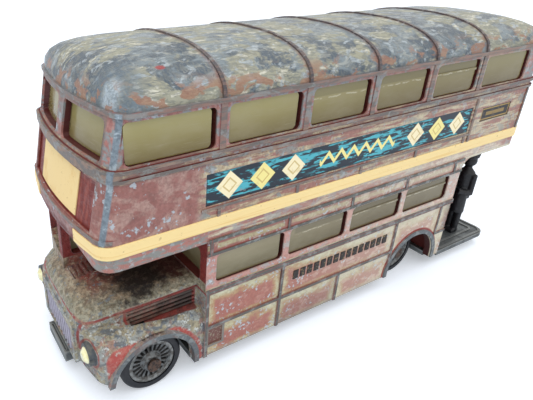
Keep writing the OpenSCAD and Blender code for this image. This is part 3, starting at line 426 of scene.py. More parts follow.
hub_metal = Finish("cast hub metal", 0.42, metallic=0.5)
at_front = hub_metal.x.rise(*BETWEEN_AXLES)
hub_x = hub_metal.x - (at_front * (FRONT_AXLE_X - REAR_AXLE_X) + REAR_AXLE_X)
hub_z = hub_metal.z - AXLE_Z
hub_radius = hub_x.hypot(hub_z)
hub_slot = (hub_z.math("ARCTAN2", hub_x).fold(math.pi / HUB_SLOTS) * hub_radius).rise(0.34, 0.2)
hub_slot = hub_slot * hub_radius.within(*SLOT_RADII, 0.1)
hub_stain = hub_metal.patches((1.3, 1.3, 1.3), 5.2, 0.45, 0.58, detail=5.0)
hub_metal.set(Base_Color=hub_metal.coats(
    HUB_GREY,
    (hub_radius.within(*HUB_RIM_RADII, 0.08) * 0.6, METAL_RUBBED),
    (hub_stain * 0.75, HUB_BROWN),
    (hub_slot, SLOT_BLACK)))
hub_metal.relief(hub_stain, 0.03)

rubber = Finish("smooth tyre rubber", 0.5)
rubber_dust = rubber.patches((0.8, 0.8, 0.8), 9.4, 0.48, 0.72)
rubber.set(Base_Color=rubber.coats(TYRE_BLACK, (rubber_dust * 0.3, TYRE_DUST)),
           Roughness=rubber_dust * 0.25 + 0.4)
rubber.relief(rubber_dust, 0.02)

for end in ("front", "rear"):
    axle = finished_copy(end + "_axle", end + "_axle_rod", edge=0.08)
    axle.data.materials.append(rust.material)
    for side in ("left", "right"):
        wheel = "wheel_" + end + "_" + side
        hub = finished_copy("hub_" + end + "_" + side, wheel, clean=False)
        hub.data.materials.append(hub_metal.material)
        tyre = finished_copy("tyre_" + end + "_" + side, wheel)
        tyre.data.materials.append(rubber.material)


# The lower casting: one piece of zinc with both saloon sides, the bulkheads, the bonnet, the wings
# and the half cab, painted red and riveted to the base. Play has worn the paint to bare metal on
# beads and edges and to a pale primer along the panel borders, and left red in the grooves.
SIDE_Y = 17.1
BULKHEAD_X = 34.3
SKIRT_Z, MID_Z, WAIST_Z, SILL_Z, HEAD_Z, CANOPY_Z = 3.4, 10.5, 18.55, 20.2, 26.0, 29.1
BAY = 16.4
BAY_LINE_X = 16.55
SIDE_FRONT_X, SIDE_REAR_X = 33.9, -32.0
HEAD_BEAD_Z = 26.6
FLAP_X, FLAP_Z, FLAP_HALF, FLAP_HALF_Z = 31.65, 7.7, 1.55, 1.9
ARCH_R, ARCH_Z, LIP_WIDTH = 8.05, 4.35, 1.0
REAR_ARCH_X = -24.6
REAR_FACE_X, REAR_WALL_X = -57.0, -55.0
OUTER_Y = 15.6
LAMP_Y, LAMP_Z = 12.8, 10.8
LAMP_RING, LAMP_LINE = (1.3, 2.25), (2.35, 2.65)
RADIATOR_HALF = 10.0
STAIN_X = (45.0, 51.5)
VENT_X, VENT_Y = (46.2, 52.8), (-2.4, 3.4)
FLANK_X, FLANK_DROP = (34.6, 48.0), (-4.5, -0.3)
FLANK_INNER_X, FLANK_INNER_DROP = (35.1, 47.5), (-4.1, -0.65)
CREASE_Z, CREASE_SLOPE = 18.6, 0.145
FLANK_Y, FLANK_SLOPE = 14.3, 0.15
ZINC = (104, 109, 112)
ZINC_LIGHT = (152, 157, 156)
PAINT_RED = (158, 66, 60)
PAINT_DEEP = (112, 38, 33)
PANEL_RED = (174, 111, 98)
PRIMER_PALE = (214, 212, 184)
PRIMER_GREEN = (198, 192, 156)
CHIP_BLUE = (196, 206, 212)
NEAR_BLACK = (26, 20, 17)


def side_paint():
    """Worn red paint of the saloon sides, laid out by the beads of their panels."""
    paint = Finish("worn saloon paint", 0.55)
    edge, groove = paint.wear(0.45)
    out = abs(paint.y)
    upper_row = paint.z.rise(MID_Z - 0.05, MID_Z + 0.05)
    low_x = (paint.x - BAY_LINE_X).fold(BAY / 2)
    high_x = (paint.x - BAY_LINE_X).fold(BAY)
    column = low_x * (1.0 - upper_row) + high_x * upper_row
    column = column.least(abs(paint.x - SIDE_FRONT_X), abs(paint.x - SIDE_REAR_X))
    below = (MID_Z - paint.z) * (1.0 - upper_row) + (WAIST_Z - paint.z) * upper_row
    above = (paint.z - SKIRT_Z) * (1.0 - upper_row) + (paint.z - MID_Z) * upper_row
    line = column.least(abs(paint.z - MID_Z), abs(paint.z - WAIST_Z))
    wander = paint.patches((0.3, 0.3, 0.4), 2.2, 0.25, 0.75, detail=6.0)
    grain = paint.patches((1.6, 1.6, 1.6), 6.1, 0.42, 0.62, detail=6.0)
    rearward = paint.x.rise(28.0, -28.0) * paint.x.rise(REAR_FACE_X + 2.0, REAR_FACE_X + 12.0)
    rubbed = below.rise(4.6, 0.4).most(column.rise(3.4, 0.5) * 0.85, above.rise(1.8, 0.4) * 0.6)
    rubbed = rubbed * (wander * 0.75 + 0.42) + grain * 0.16 - 0.06 + rearward * 0.2
    grit = paint.patches((2.6, 2.6, 2.6), 71.0, 0.52, 0.64, detail=3.0)
    scuffs = paint.patches((0.5, 0.5, 0.8), 33.0, 0.52, 0.62, detail=6.0, warp=0.5)
    clusters = paint.patches((0.22, 0.22, 0.3), 12.6, 0.44, 0.6, detail=3.0)
    chips = paint.patches((1.5, 1.5, 1.5), 42.6, 0.3, 0.7, detail=5.0)
    chips = (chips + clusters * 0.34).rise(1.01, 1.09)
    panel = paint.coats(
        PANEL_RED,
        (scuffs * 0.6, (194, 150, 136)),
        (grain * 0.3, (148, 90, 80)),
        (rubbed.rise(0.2, 0.55), (184, 150, 112)),
        (rubbed.rise(0.45, 0.8), PRIMER_GREEN),
        (rubbed.rise(0.7, 1.05), PRIMER_PALE))
    frames = paint.z.within(WAIST_Z + 0.7, HEAD_Z + 0.4, 0.15)
    frame_wear = paint.patches((0.45, 0.45, 0.6), 17.0, 0.48, 0.58, detail=6.0)
    frame_colour = paint.coats(
        (196, 146, 136),
        (grain * 0.45, (168, 112, 104)),
        (frame_wear * 0.8, (168, 170, 168)))
    head_edge = abs(paint.z - HEAD_BEAD_Z).least(abs(paint.z - CANOPY_Z), low_x)
    head_panel = paint.z.within(HEAD_Z + 0.4, CANOPY_Z, 0.1)
    head_rub = head_edge.rise(0.3, 1.1) * (wander * 0.5 + 0.6)
    head_colour = paint.coats(
        (158, 98, 90),
        (head_rub.rise(0.3, 0.8), (182, 172, 134)),
        (grain * 0.4, (146, 118, 100)),
        (scuffs * 0.5, (196, 190, 168)))
    rim = paint.z.rise(CANOPY_Z + 0.4, CANOPY_Z + 0.6)
    rim_streaks = paint.patches((0.16, 0.5, 1.7), 21.0, 0.44, 0.58, detail=6.0)
    rim_colour = paint.coats(
        (166, 116, 108),
        (rim_streaks, (208, 198, 172)),
        (frame_wear * 0.6, (158, 162, 162)))
    bead = out.rise(SIDE_Y + 0.05, SIDE_Y + 0.14)
    bead_colour = paint.coats(
        (94, 97, 93),
        (frame_wear * 0.7, ZINC_LIGHT),
        (grain * 0.3, (112, 98, 90)))
    reveal = out.rise(SIDE_Y - 0.16, SIDE_Y - 0.3) * paint.x.rise(REAR_FACE_X + 3.0, REAR_FACE_X + 4.0)
    arch = (paint.x - REAR_ARCH_X).hypot(paint.z - ARCH_Z) - ARCH_R
    arch_line = arch.within(LIP_WIDTH, LIP_WIDTH + 0.5, 0.12)
    lip = arch.rise(LIP_WIDTH + 0.05, LIP_WIDTH - 0.05) * bead
    foot = (paint.z + wander * 0.8).rise(SKIRT_Z + 1.3, SKIRT_Z + 0.5)
    flap = (abs(paint.x - FLAP_X) - FLAP_HALF).most(abs(paint.z - FLAP_Z) - FLAP_HALF_Z)
    colour = paint.coats(
        panel,
        (frames, frame_colour),
        (head_panel, head_colour),
        (rim, rim_colour),
        (chips * (1.0 - rim) * 0.9, CHIP_BLUE),
        (foot * 0.7, (146, 136, 128)),
        (grit * 0.28, (126, 98, 86)),
        (rearward * (scuffs * 0.4 + 0.42), (224, 211, 193)),
        (arch_line, PAINT_RED),
        (groove.rise(0.25, 0.5) * 0.85, (142, 56, 50)),
        (bead, bead_colour),
        (bead * line.within(0.24, 0.5, 0.06) * 0.45, (150, 76, 70)),
        (lip, paint.coats(ZINC, (frame_wear * 0.6, ZINC_LIGHT))),
        (edge.rise(0.4, 0.85) * (1.0 - bead) * 0.5, ZINC_LIGHT),
        (reveal, (70, 26, 22)),
        (flap.within(0.0, 0.5, 0.08), (128, 124, 118)),
        (flap.rise(0.05, -0.05), paint.coats((116, 74, 66), (grit, (150, 138, 120)))))
    paint.set(Base_Color=colour, Metallic=bead * 0.3, Roughness=grain * 0.15 + 0.45)
    return paint.relief(grain * 0.4 - chips - rubbed * 0.3, 0.035)


def nose_paint():
    """Worn paint of the bonnet, wings, cab and canopy: mottled metal, and on the bonnet top a near-black
    patch that is sooty dirt with the canopy's shadow painted into it.
    """
    paint = Finish("worn nose paint", 0.5)
    edge, groove = paint.wear(0.5)
    out = abs(paint.y)
    grain = paint.patches((1.5, 1.5, 1.5), 5.5, 0.42, 0.6, detail=7.0)
    grit = paint.patches((2.4, 2.4, 2.4), 73.0, 0.5, 0.62, detail=3.0)
    olive = paint.patches((0.55, 0.55, 0.55), 1.7, 0.45, 0.55, detail=7.0, warp=0.5)
    brown = paint.patches((0.4, 0.4, 0.4), 8.8, 0.51, 0.59, detail=7.0, warp=0.5)
    slate = paint.patches((0.5, 0.5, 0.5), 28.8, 0.54, 0.6, detail=7.0, warp=0.5)
    pale = paint.patches((1.0, 1.0, 1.0), 14.2, 0.57, 0.63, detail=6.0)
    ground = paint.coats(
        (152, 158, 156),
        (olive, (168, 160, 134)),
        (brown * 0.75, (150, 104, 92)),
        (slate * 0.9, (92, 104, 116)),
        (grain * 0.35, (116, 110, 96)),
        (pale * 0.75, (210, 216, 214)),
        (grit * 0.5, (88, 84, 76)))
    crease = paint.z - ((BULKHEAD_X - paint.x) * CREASE_SLOPE + CREASE_Z)
    top = crease.rise(-0.05, 0.25) * (1.0 - paint.z.rise(SILL_Z + 0.3, SILL_Z + 0.5))
    specks = paint.patches((1.0, 1.0, 1.0), 3.3, 0.53, 0.61, detail=7.0)
    blue_specks = paint.patches((0.8, 0.8, 0.8), 44.0, 0.58, 0.64, detail=6.0)
    grime = paint.patches((0.7, 0.7, 0.7), 19.0, 0.42, 0.58, detail=7.0)
    wander = paint.patches((0.45, 0.45, 0.45), 23.0, 0.3, 0.7, detail=6.0) * 4.0 - 2.0
    red_stain = (paint.x + wander).within(*STAIN_X, 1.2) * (paint.y + wander).rise(9.0, 5.0)
    shoulder = (crease + wander * 0.4).rise(2.6, 0.9)
    shake = wander * 0.3
    vent = (paint.x + shake).within(*VENT_X, 0.5) * (paint.y + shake).within(*VENT_Y, 0.7)
    vent_colour = paint.coats((138, 66, 57), (grit * 0.6, (86, 48, 43)), (pale, (208, 198, 180)))
    top_colour = paint.coats(
        (162, 142, 116),
        (grime * 0.85, (106, 90, 73)),
        (red_stain * 0.9, (134, 68, 58)),
        (shoulder * 0.7, paint.coats((158, 160, 142), (grain, (116, 114, 92)))),
        (blue_specks * 0.8, (118, 130, 138)),
        (specks * 0.6, (192, 180, 154)),
        (grit * 0.45, (70, 60, 50)))
    # Painted shadow of the canopy over sooty dirt: near-black on the bonnet top beneath the canopy,
    # reddish towards the bulkhead.
    canopy_shadow_and_soot = (paint.x + wander).rise(50.5, 45.5) * (paint.y + wander).rise(13.0, 10.0)
    soot_and_shadow = paint.coats(
        NEAR_BLACK,
        (paint.x.rise(40.5, 35.5), (70, 30, 26)),
        (specks * 0.25, (120, 104, 84)))
    ring = (paint.x - FRONT_AXLE_X).hypot(paint.z - ARCH_Z) - (ARCH_R + LIP_WIDTH)
    red_width = paint.x.rise(47.5, 53.0) * 2.2 + 0.7
    side_face = out.rise(SIDE_Y - 0.9, SIDE_Y - 0.6)
    red_ring = ring.rise(-0.05, 0.1) * (ring - red_width + wander * 0.15).rise(0.3, -0.3)
    red_ring = red_ring * side_face
    ring_colour = paint.coats(
        (166, 72, 66),
        (grain * 0.6, (182, 116, 104)),
        (pale * 0.7, (188, 184, 176)))
    lip = ring.rise(0.05, -0.1) * side_face
    cab = paint.z.rise(SILL_Z + 0.2, SILL_Z + 0.4)
    rim = paint.z.rise(CANOPY_Z - 0.1, CANOPY_Z + 0.1)
    rim_streaks = paint.patches((0.35, 0.35, 1.4), 27.0, 0.44, 0.56, detail=6.0)
    rim_colour = paint.coats(
        (138, 138, 134),
        (rim_streaks, (174, 118, 108)),
        (pale * 0.6, (178, 184, 186)))
    flank_gap = abs(paint.y - ((BULKHEAD_X - paint.x) * FLANK_SLOPE + FLANK_Y))
    flank = crease.within(*FLANK_DROP, 0.08) * paint.x.within(*FLANK_X, 0.2) * flank_gap.rise(1.1, 0.9)
    flank_inside = crease.within(*FLANK_INNER_DROP, 0.08) * paint.x.within(*FLANK_INNER_X, 0.1)
    flank_line = flank * (1.0 - flank_inside)
    flank_shade = (paint.x + wander).rise(45.0, 37.5)
    flank_colour = paint.coats(
        (120, 104, 92),
        (grain * 0.7, (126, 72, 62)),
        (groove.rise(0.15, 0.5), (56, 38, 34)),
        (flank_shade * 0.8, (30, 24, 23)))
    beside_radiator = (out - RADIATOR_HALF).within(-0.3, 0.3, 0.08) * paint.x.rise(54.4, 54.8)
    red_line = crease.within(-0.42, -0.02, 0.06).most(beside_radiator)
    lamp = (out - LAMP_Y).hypot(paint.z - LAMP_Z)
    lamp_colour = paint.coats((72, 78, 82), (olive * 0.6, (104, 104, 96)))
    at_nose = paint.x.rise(52.6, 53.0)
    colour = paint.coats(
        ground,
        (top, top_colour),
        (top * vent * (1.0 - olive * 0.4) * 0.85, vent_colour),
        # Painted canopy shadow over sooty dirt on the bonnet top.
        (top * canopy_shadow_and_soot * 0.95, soot_and_shadow),
        (cab, paint.coats((116, 34, 30), (grain * 0.4, (140, 58, 50)))),
        (rim, rim_colour),
        (edge.rise(0.3, 0.75) * 0.75, paint.coats((146, 150, 148), (olive, (112, 108, 100)))),
        (groove.rise(0.4, 0.7) * (1.0 - flank) * 0.6, (120, 56, 50)),
        (red_ring, ring_colour),
        (flank, flank_colour),
        (flank_line * (1.0 - olive * 0.5), (142, 62, 56)),
        (red_line * (1.0 - cab) * (1.0 - olive * 0.55), (142, 60, 54)),
        (lamp.within(*LAMP_RING, 0.08) * at_nose, lamp_colour),
        (lamp.within(*LAMP_LINE, 0.1) * at_nose * 0.8, (140, 58, 52)),
        (lip, paint.coats(ZINC, (slate * 0.6, ZINC_LIGHT), (brown * 0.5, (122, 98, 92)))))
    paint.set(Base_Color=colour, Metallic=lip * 0.3, Roughness=grime * 0.2 + 0.42)
    return paint.relief(specks + pale * 0.6 + grain * 0.5, 0.05)


def inner_paint(name, colour):
    """Thin dull paint of faces that stay out of the hand's reach."""
    paint = Finish(name, 0.7)
    shade = paint.patches((0.3, 0.3, 0.3), 2.9, 0.4, 0.65)
    groove = paint.wear(1.5)[1]
    paint.set(Base_Color=paint.coats(
        colour,
        (shade * 0.5, PAINT_DEEP),
        # Darker towards the inside corners.
        (groove.rise(0.4, 0.9) * 0.6, NEAR_BLACK)))
    return paint.relief(shade, 0.03)


def paint_faces(piece, finishes, choose):
    """Gives each face the finish at the number that choose returns for its middle and normal."""
    for finish in finishes:
        piece.data.materials.append(finish.material)
    for face in piece.data.polygons:
        face.material_index = choose(face.center / MILLIMETRE, face.normal)


def lower_face(middle, normal):
    """0 for the saloon's outer sides, 1 for the nose, cab and canopy, 2 for what lies inside."""
    if middle.x > BULKHEAD_X - 0.1:
        return 1
    if abs(middle.y) > OUTER_Y or middle.x < REAR_WALL_X or middle.z > CANOPY_Z:
        return 0
    return 2


bulkhead_cut = ((BULKHEAD_X * MILLIMETRE, 0, 0), (1, 0, 0))
lower_body = finished_copy("lower_body", cuts=[bulkhead_cut])
lower_inside = inner_paint("inner lower paint", (104, 44, 38))
paint_faces(lower_body, [side_paint(), nose_paint(), lower_inside], lower_face)


# The lower glazing and what shows behind it: one yellowed clear moulding for the saloon and one
# for the cab, each pushed into its openings from inside, a brown seat moulding on the saloon floor,
# and a brown stair that stands on the platform.
PANE_LOW = (118, 108, 76)
PANE_HIGH = (168, 158, 126)
PANE_DUST = (188, 180, 150)
PANE_DARK_OLIVE = (74, 64, 40)
PANE_BROWN = (108, 90, 54)
PANE_GLINT = (232, 224, 196)
VENT_BAR_Z, VENT_BAR_X = 24.1, (-32.0, 14.0)
SEAT_BROWN, SEAT_DARK = (98, 82, 60), (78, 64, 48)


def pane(name, low, high, bottom, top, vent_z, vent_x):
    """Yellowed clear plastic, darker below than above and along its rims, with a thin bright line at its
    vent bar; the darkening is painted shade, with some dirt at the rims, and the line is a painted
    glint.
    """
    plastic = Finish(name, 0.16)
    clouds = plastic.patches((0.12, 0.12, 0.3), 3.7, 0.35, 0.7)
    scratches = plastic.patches((0.25, 0.25, 5.0), 11.0, 0.6, 0.7, detail=3.0)
    height = plastic.z.rise(bottom, top)
    vented = plastic.x.within(*vent_x, 0.3)
    above_bar = plastic.z.rise(vent_z + 0.1, vent_z + 0.3) * vented
    dirt = plastic.wear(0.7)[1]
    glint_dashes = plastic.patches((0.7, 0.1, 0.1), 16.0, 0.42, 0.58, detail=5.0)
    sway = plastic.patches((0.5, 0.1, 0.1), 26.0, 0.3, 0.7) * 0.3
    line = abs(plastic.z + sway - vent_z).rise(0.16, 0.06) * glint_dashes * vented
    colour = plastic.coats(
        low,
        # Painted shade: the pane darker towards its sill and lighter towards its head.
        (height, high),
        (clouds * 0.25, PANE_DUST),
        (scratches * 0.2, PANE_DUST),
        (plastic.x.rise(30.0, -14.0) * 0.4, PANE_BROWN),
        # Painted shade with some dirt: the pane darker along its rims beside the reveals.
        (dirt.rise(0.3, 0.9) * 0.6, PANE_DARK_OLIVE),
        (above_bar * 0.3, PANE_DARK_OLIVE),
        # Painted highlight: broken glints along the vent bar.
        (line * 0.55, PANE_GLINT))
    plastic.set(Base_Color=colour, Transmission_Weight=0.2, IOR=1.46, Roughness=clouds * 0.12 + 0.12)
    return plastic


lower_pane = pane("yellowed saloon glazing", PANE_LOW, PANE_HIGH, SILL_Z, HEAD_Z, VENT_BAR_Z, VENT_BAR_X)
for node in ("lower_glazing", "cab_glazing"):
    glazing = finished_copy(node)
    glazing.data.materials.append(lower_pane.material)

seat_plastic = Finish("brown seat moulding", 0.6)
seat_shade = seat_plastic.patches((0.4, 0.4, 0.4), 6.6, 0.4, 0.6)
seat_plastic.set(Base_Color=seat_plastic.coats(SEAT_BROWN, (seat_shade, SEAT_DARK)))
seat_plastic.relief(seat_shade, 0.03)
for node in ("lower_deck_seats", "staircase"):
    moulding = finished_copy(node)
    moulding.data.materials.append(seat_plastic.material)


# The small figures: a driver in the cab and a conductor on the platform, each moulded in black
# plastic in one piece, so that all edges run into each other, and stuck down by the feet or seat.
FIGURE_BLACK = (11, 12, 17)
FIGURE_SHEEN = (36, 38, 44)
FIGURE_GRAIN = 0.16
SOFTEN_SHARE, SOFTEN_ROUNDS = 0.5, 8

figure_plastic = Finish("black figure plastic", 0.5)
figure_rub_and_sheen = figure_plastic.patches((0.9, 0.9, 0.9), 4.9, 0.5, 0.66)
# Lighter rubbed patches on the black plastic, which also serve as a painted sheen.
figure_plastic.set(Base_Color=figure_plastic.coats(FIGURE_BLACK, (figure_rub_and_sheen * 0.6, FIGURE_SHEEN)))
figure_plastic.relief(figure_rub_and_sheen, 0.03)
for node in ("driver_figure", "conductor_figure"):
    figure = finished_copy(node)
    skin = figure.modifiers.new("one skin", "REMESH")
    skin.mode = "VOXEL"
    skin.voxel_size = FIGURE_GRAIN * MILLIMETRE
    bpy.ops.object.modifier_apply(modifier=skin.name)
    soften = figure.modifiers.new("soft edges", "SMOOTH")
    soften.factor = SOFTEN_SHARE
    soften.iterations = SOFTEN_ROUNDS
    bpy.ops.object.modifier_apply(modifier=soften.name)
    bpy.ops.object.shade_smooth()
    figure.data.materials.append(figure_plastic.material)


# The lamps and the radiator: cut jewels of pale yellow plastic pushed into round pockets,
# and a ribbed insert painted silver behind the radiator opening.
JEWEL_YELLOW = (252, 250, 206)
JEWEL_SHADE = (226, 214, 140)
GRILLE_LILAC = (188, 184, 198)
GRILLE_RUBBED = (150, 148, 158)
GRILLE_DARK = (92, 88, 100)

jewel = Finish("cut headlamp jewel", 0.08)
jewel_shade = jewel.patches((0.9, 0.9, 0.9), 2.4, 0.4, 0.62)
jewel.set(Base_Color=jewel.coats(JEWEL_YELLOW, (jewel_shade * 0.6, JEWEL_SHADE)), Coat_Weight=0.6)
for side in ("left", "right"):
    lamp_piece = finished_copy("headlamp_" + side, edge=0.1)
    lamp_piece.data.materials.append(jewel.material)

silver = Finish("silver radiator paint", 0.4, metallic=0.35)
silver_groove = silver.wear(0.5)[1]
silver_rub = silver.patches((0.5, 0.8, 0.8), 7.0, 0.45, 0.62)
silver.set(Base_Color=silver.coats(
    GRILLE_LILAC,
    (silver_rub * 0.4, GRILLE_RUBBED),
    (silver_groove.rise(0.3, 0.8) * 0.8, GRILLE_DARK)))
silver.relief(silver_rub, 0.02)
grille = finished_copy("radiator_grille", edge=0.05)
grille.data.materials.append(silver.material)


# The deck: a cream plastic moulding held between the two castings. Its edge shows as the band
# round the bus, and the upper seats stand on it.
CREAM = (250, 222, 156)
CREAM_GOLD = (232, 190, 108)
CREAM_DIRT_AND_SHADE = (150, 118, 70)
BAND_Z = 31.5
BAND_HEIGHT = 2.3

cream = Finish("cream deck plastic", 0.5)
cream_gap_shade = cream.wear(0.4)[1]
cream_lines = cream.patches((0.06, 0.06, 3.0), 5.0, 0.48, 0.66)
cream_low = (cream.z - BAND_Z).rise(BAND_HEIGHT * 0.6, BAND_HEIGHT * 0.3)
cream_specks = cream.patches((1.2, 1.2, 1.2), 13.0, 0.66, 0.7)
cream.set(Base_Color=cream.coats(
    CREAM,
    (cream_lines * cream_low * 0.6, CREAM_GOLD),
    (cream_specks * 0.5, CREAM_DIRT_AND_SHADE),
    # Painted shade: a thin dark line in the gaps where the band meets the castings.
    (cream_gap_shade.rise(0.3, 0.8), CREAM_DIRT_AND_SHADE)))
cream.relief(cream_lines, 0.02)
deck = finished_copy("deck_moulding", edge=0.1)
deck.data.materials.append(cream.material)


# The upper glazing: one clear moulding behind all the upper windows, yellowed with age and
# held in the casting by the deck below.
UP_SILL_Z, UP_HEAD_Z = 46.0, 52.5
UP_PANE_LOW = (128, 112, 62)
UP_PANE_HIGH = (180, 170, 112)
UP_VENT_BAR_Z, UP_VENT_BAR_X = 50.6, (-33.0, 14.0)

upper_pane = pane("yellowed upper glazing", UP_PANE_LOW, UP_PANE_HIGH,
                  UP_SILL_Z - 0.5, UP_HEAD_Z, UP_VENT_BAR_Z, UP_VENT_BAR_X)
upper_glazing = finished_copy("upper_glazing")
upper_glazing.data.materials.append(upper_pane.material)


# The upper casting: zinc sides, leaning front and domed roof in one piece, set down over the deck
# and once all red. The roof is rubbed down to mottled metal; the sides keep red in their panels.
UPPER_Z, GUTTER_Z = 33.8, 53.4
FRONT_X, LEAN, BOW_R = 55.0, 0.199, 68.0
CORNER_Y, CORNER_R = 14.1, 3.0
FIRST_RIB_X, SECOND_RIB_X, RIB_STEP = 32.4, 15.5, 16.13
BETWEEN_RIBS, BEHIND_RIBS = (23.4, 23.6), (-41.0, -40.0)
ROOF_CORNER_X, ROOF_CORNER_Y = 49.0, 14.0
SPOT_X, SPOT_Y = 41.0, 13.2
RAIL_Z = 43.4
FRONT_BAY_X = 36.0
UPPER_OUTER_Y, FRONT_DEPTH = 15.5, 4.2


def roof_paint():
    """Roof rubbed to mottled blue-grey and olive metal, with red left along the gutter and a painted
    highlight at each front corner.
    """
    paint = Finish("rubbed roof", 0.42)
    slate = paint.patches((0.14, 0.2, 0.2), 2.7, 0.46, 0.54, detail=7.0, warp=0.5)
    olive = paint.patches((0.12, 0.17, 0.17), 9.1, 0.48, 0.54, detail=8.0, warp=0.5)
    pale = paint.patches((0.4, 0.7, 0.7), 19.1, 0.55, 0.61, detail=7.0, warp=0.6)
    light = paint.patches((0.42, 0.65, 0.65), 15.3, 0.56, 0.62, detail=7.0, warp=0.5)
    brush = paint.patches((0.7, 2.4, 2.4), 31.0, 0.46, 0.58, detail=5.0, warp=0.6)
    cross = paint.patches((2.2, 0.9, 0.9), 37.0, 0.48, 0.6, detail=5.0, warp=0.5)
    low = paint.z.rise(GUTTER_Z + 4.4, GUTTER_Z + 1.8)
    red = paint.patches((0.22, 0.34, 0.44), 40.0, 0.515, 0.565, detail=8.0, warp=0.5) * low * 0.85
    front_corner = (paint.x - ROOF_CORNER_X).hypot(abs(paint.y) - ROOF_CORNER_Y)
    near_first = abs(paint.x - FIRST_RIB_X)
    behind_last = paint.x.rise(*BEHIND_RIBS).math("MULTIPLY_ADD", -9.0, 9.0)
    near_others = (paint.x - SECOND_RIB_X).fold(RIB_STEP / 2) + behind_last
    front = paint.x.rise(*BETWEEN_RIBS)
    rib = near_first * front + near_others * (1.0 - front)
    on_rib = rib.rise(0.4, 0.25)
    beside_rib = rib.rise(1.1, 0.45) * (pale * 0.5 + 0.5)
    gutter = paint.z.rise(GUTTER_Z + 0.45, GUTTER_Z + 0.3)
    spot = (paint.x - SPOT_X).hypot((paint.y - SPOT_Y) * math.sqrt(3.0))
    red_colour = paint.coats((150, 108, 86), (brush * 0.6, (172, 138, 112)))
    rib_colour = paint.coats(
        (74, 70, 73),
        (brush * 0.7, (124, 100, 92)),
        (light * 0.7, (148, 146, 142)))
    gutter_colour = paint.coats(
        (108, 108, 112),
        (light, (156, 94, 86)),
        (brush * 0.5, (84, 78, 80)))
    colour = paint.coats(
        (124, 136, 142),
        (slate, (72, 86, 98)),
        (olive * 0.85, (166, 164, 142)),
        (pale * (olive * 0.7 + 0.3), (204, 202, 186)),
        (light * 0.8, (176, 187, 194)),
        (front_corner.rise(6.5, 2.5) * 0.8, (94, 110, 122)),
        # Painted highlight: a pale spot on each front corner of the roof.
        (front_corner.rise(2.2, 0.8) * 0.7, (186, 200, 210)),
        (brush * 0.45, (88, 97, 102)),
        (cross * 0.25, (146, 142, 124)),
        (red, red_colour),
        (spot.rise(1.0, 0.5) * 0.9, (160, 56, 56)),
        (beside_rib * 0.7, (130, 92, 86)),
        (on_rib, rib_colour),
        (gutter, gutter_colour))
    paint.set(Base_Color=colour, Roughness=olive * 0.2 + 0.34)
    return paint.relief(brush * 0.5 + light * 0.5 + olive * 0.5 + cross * 0.3, 0.06)


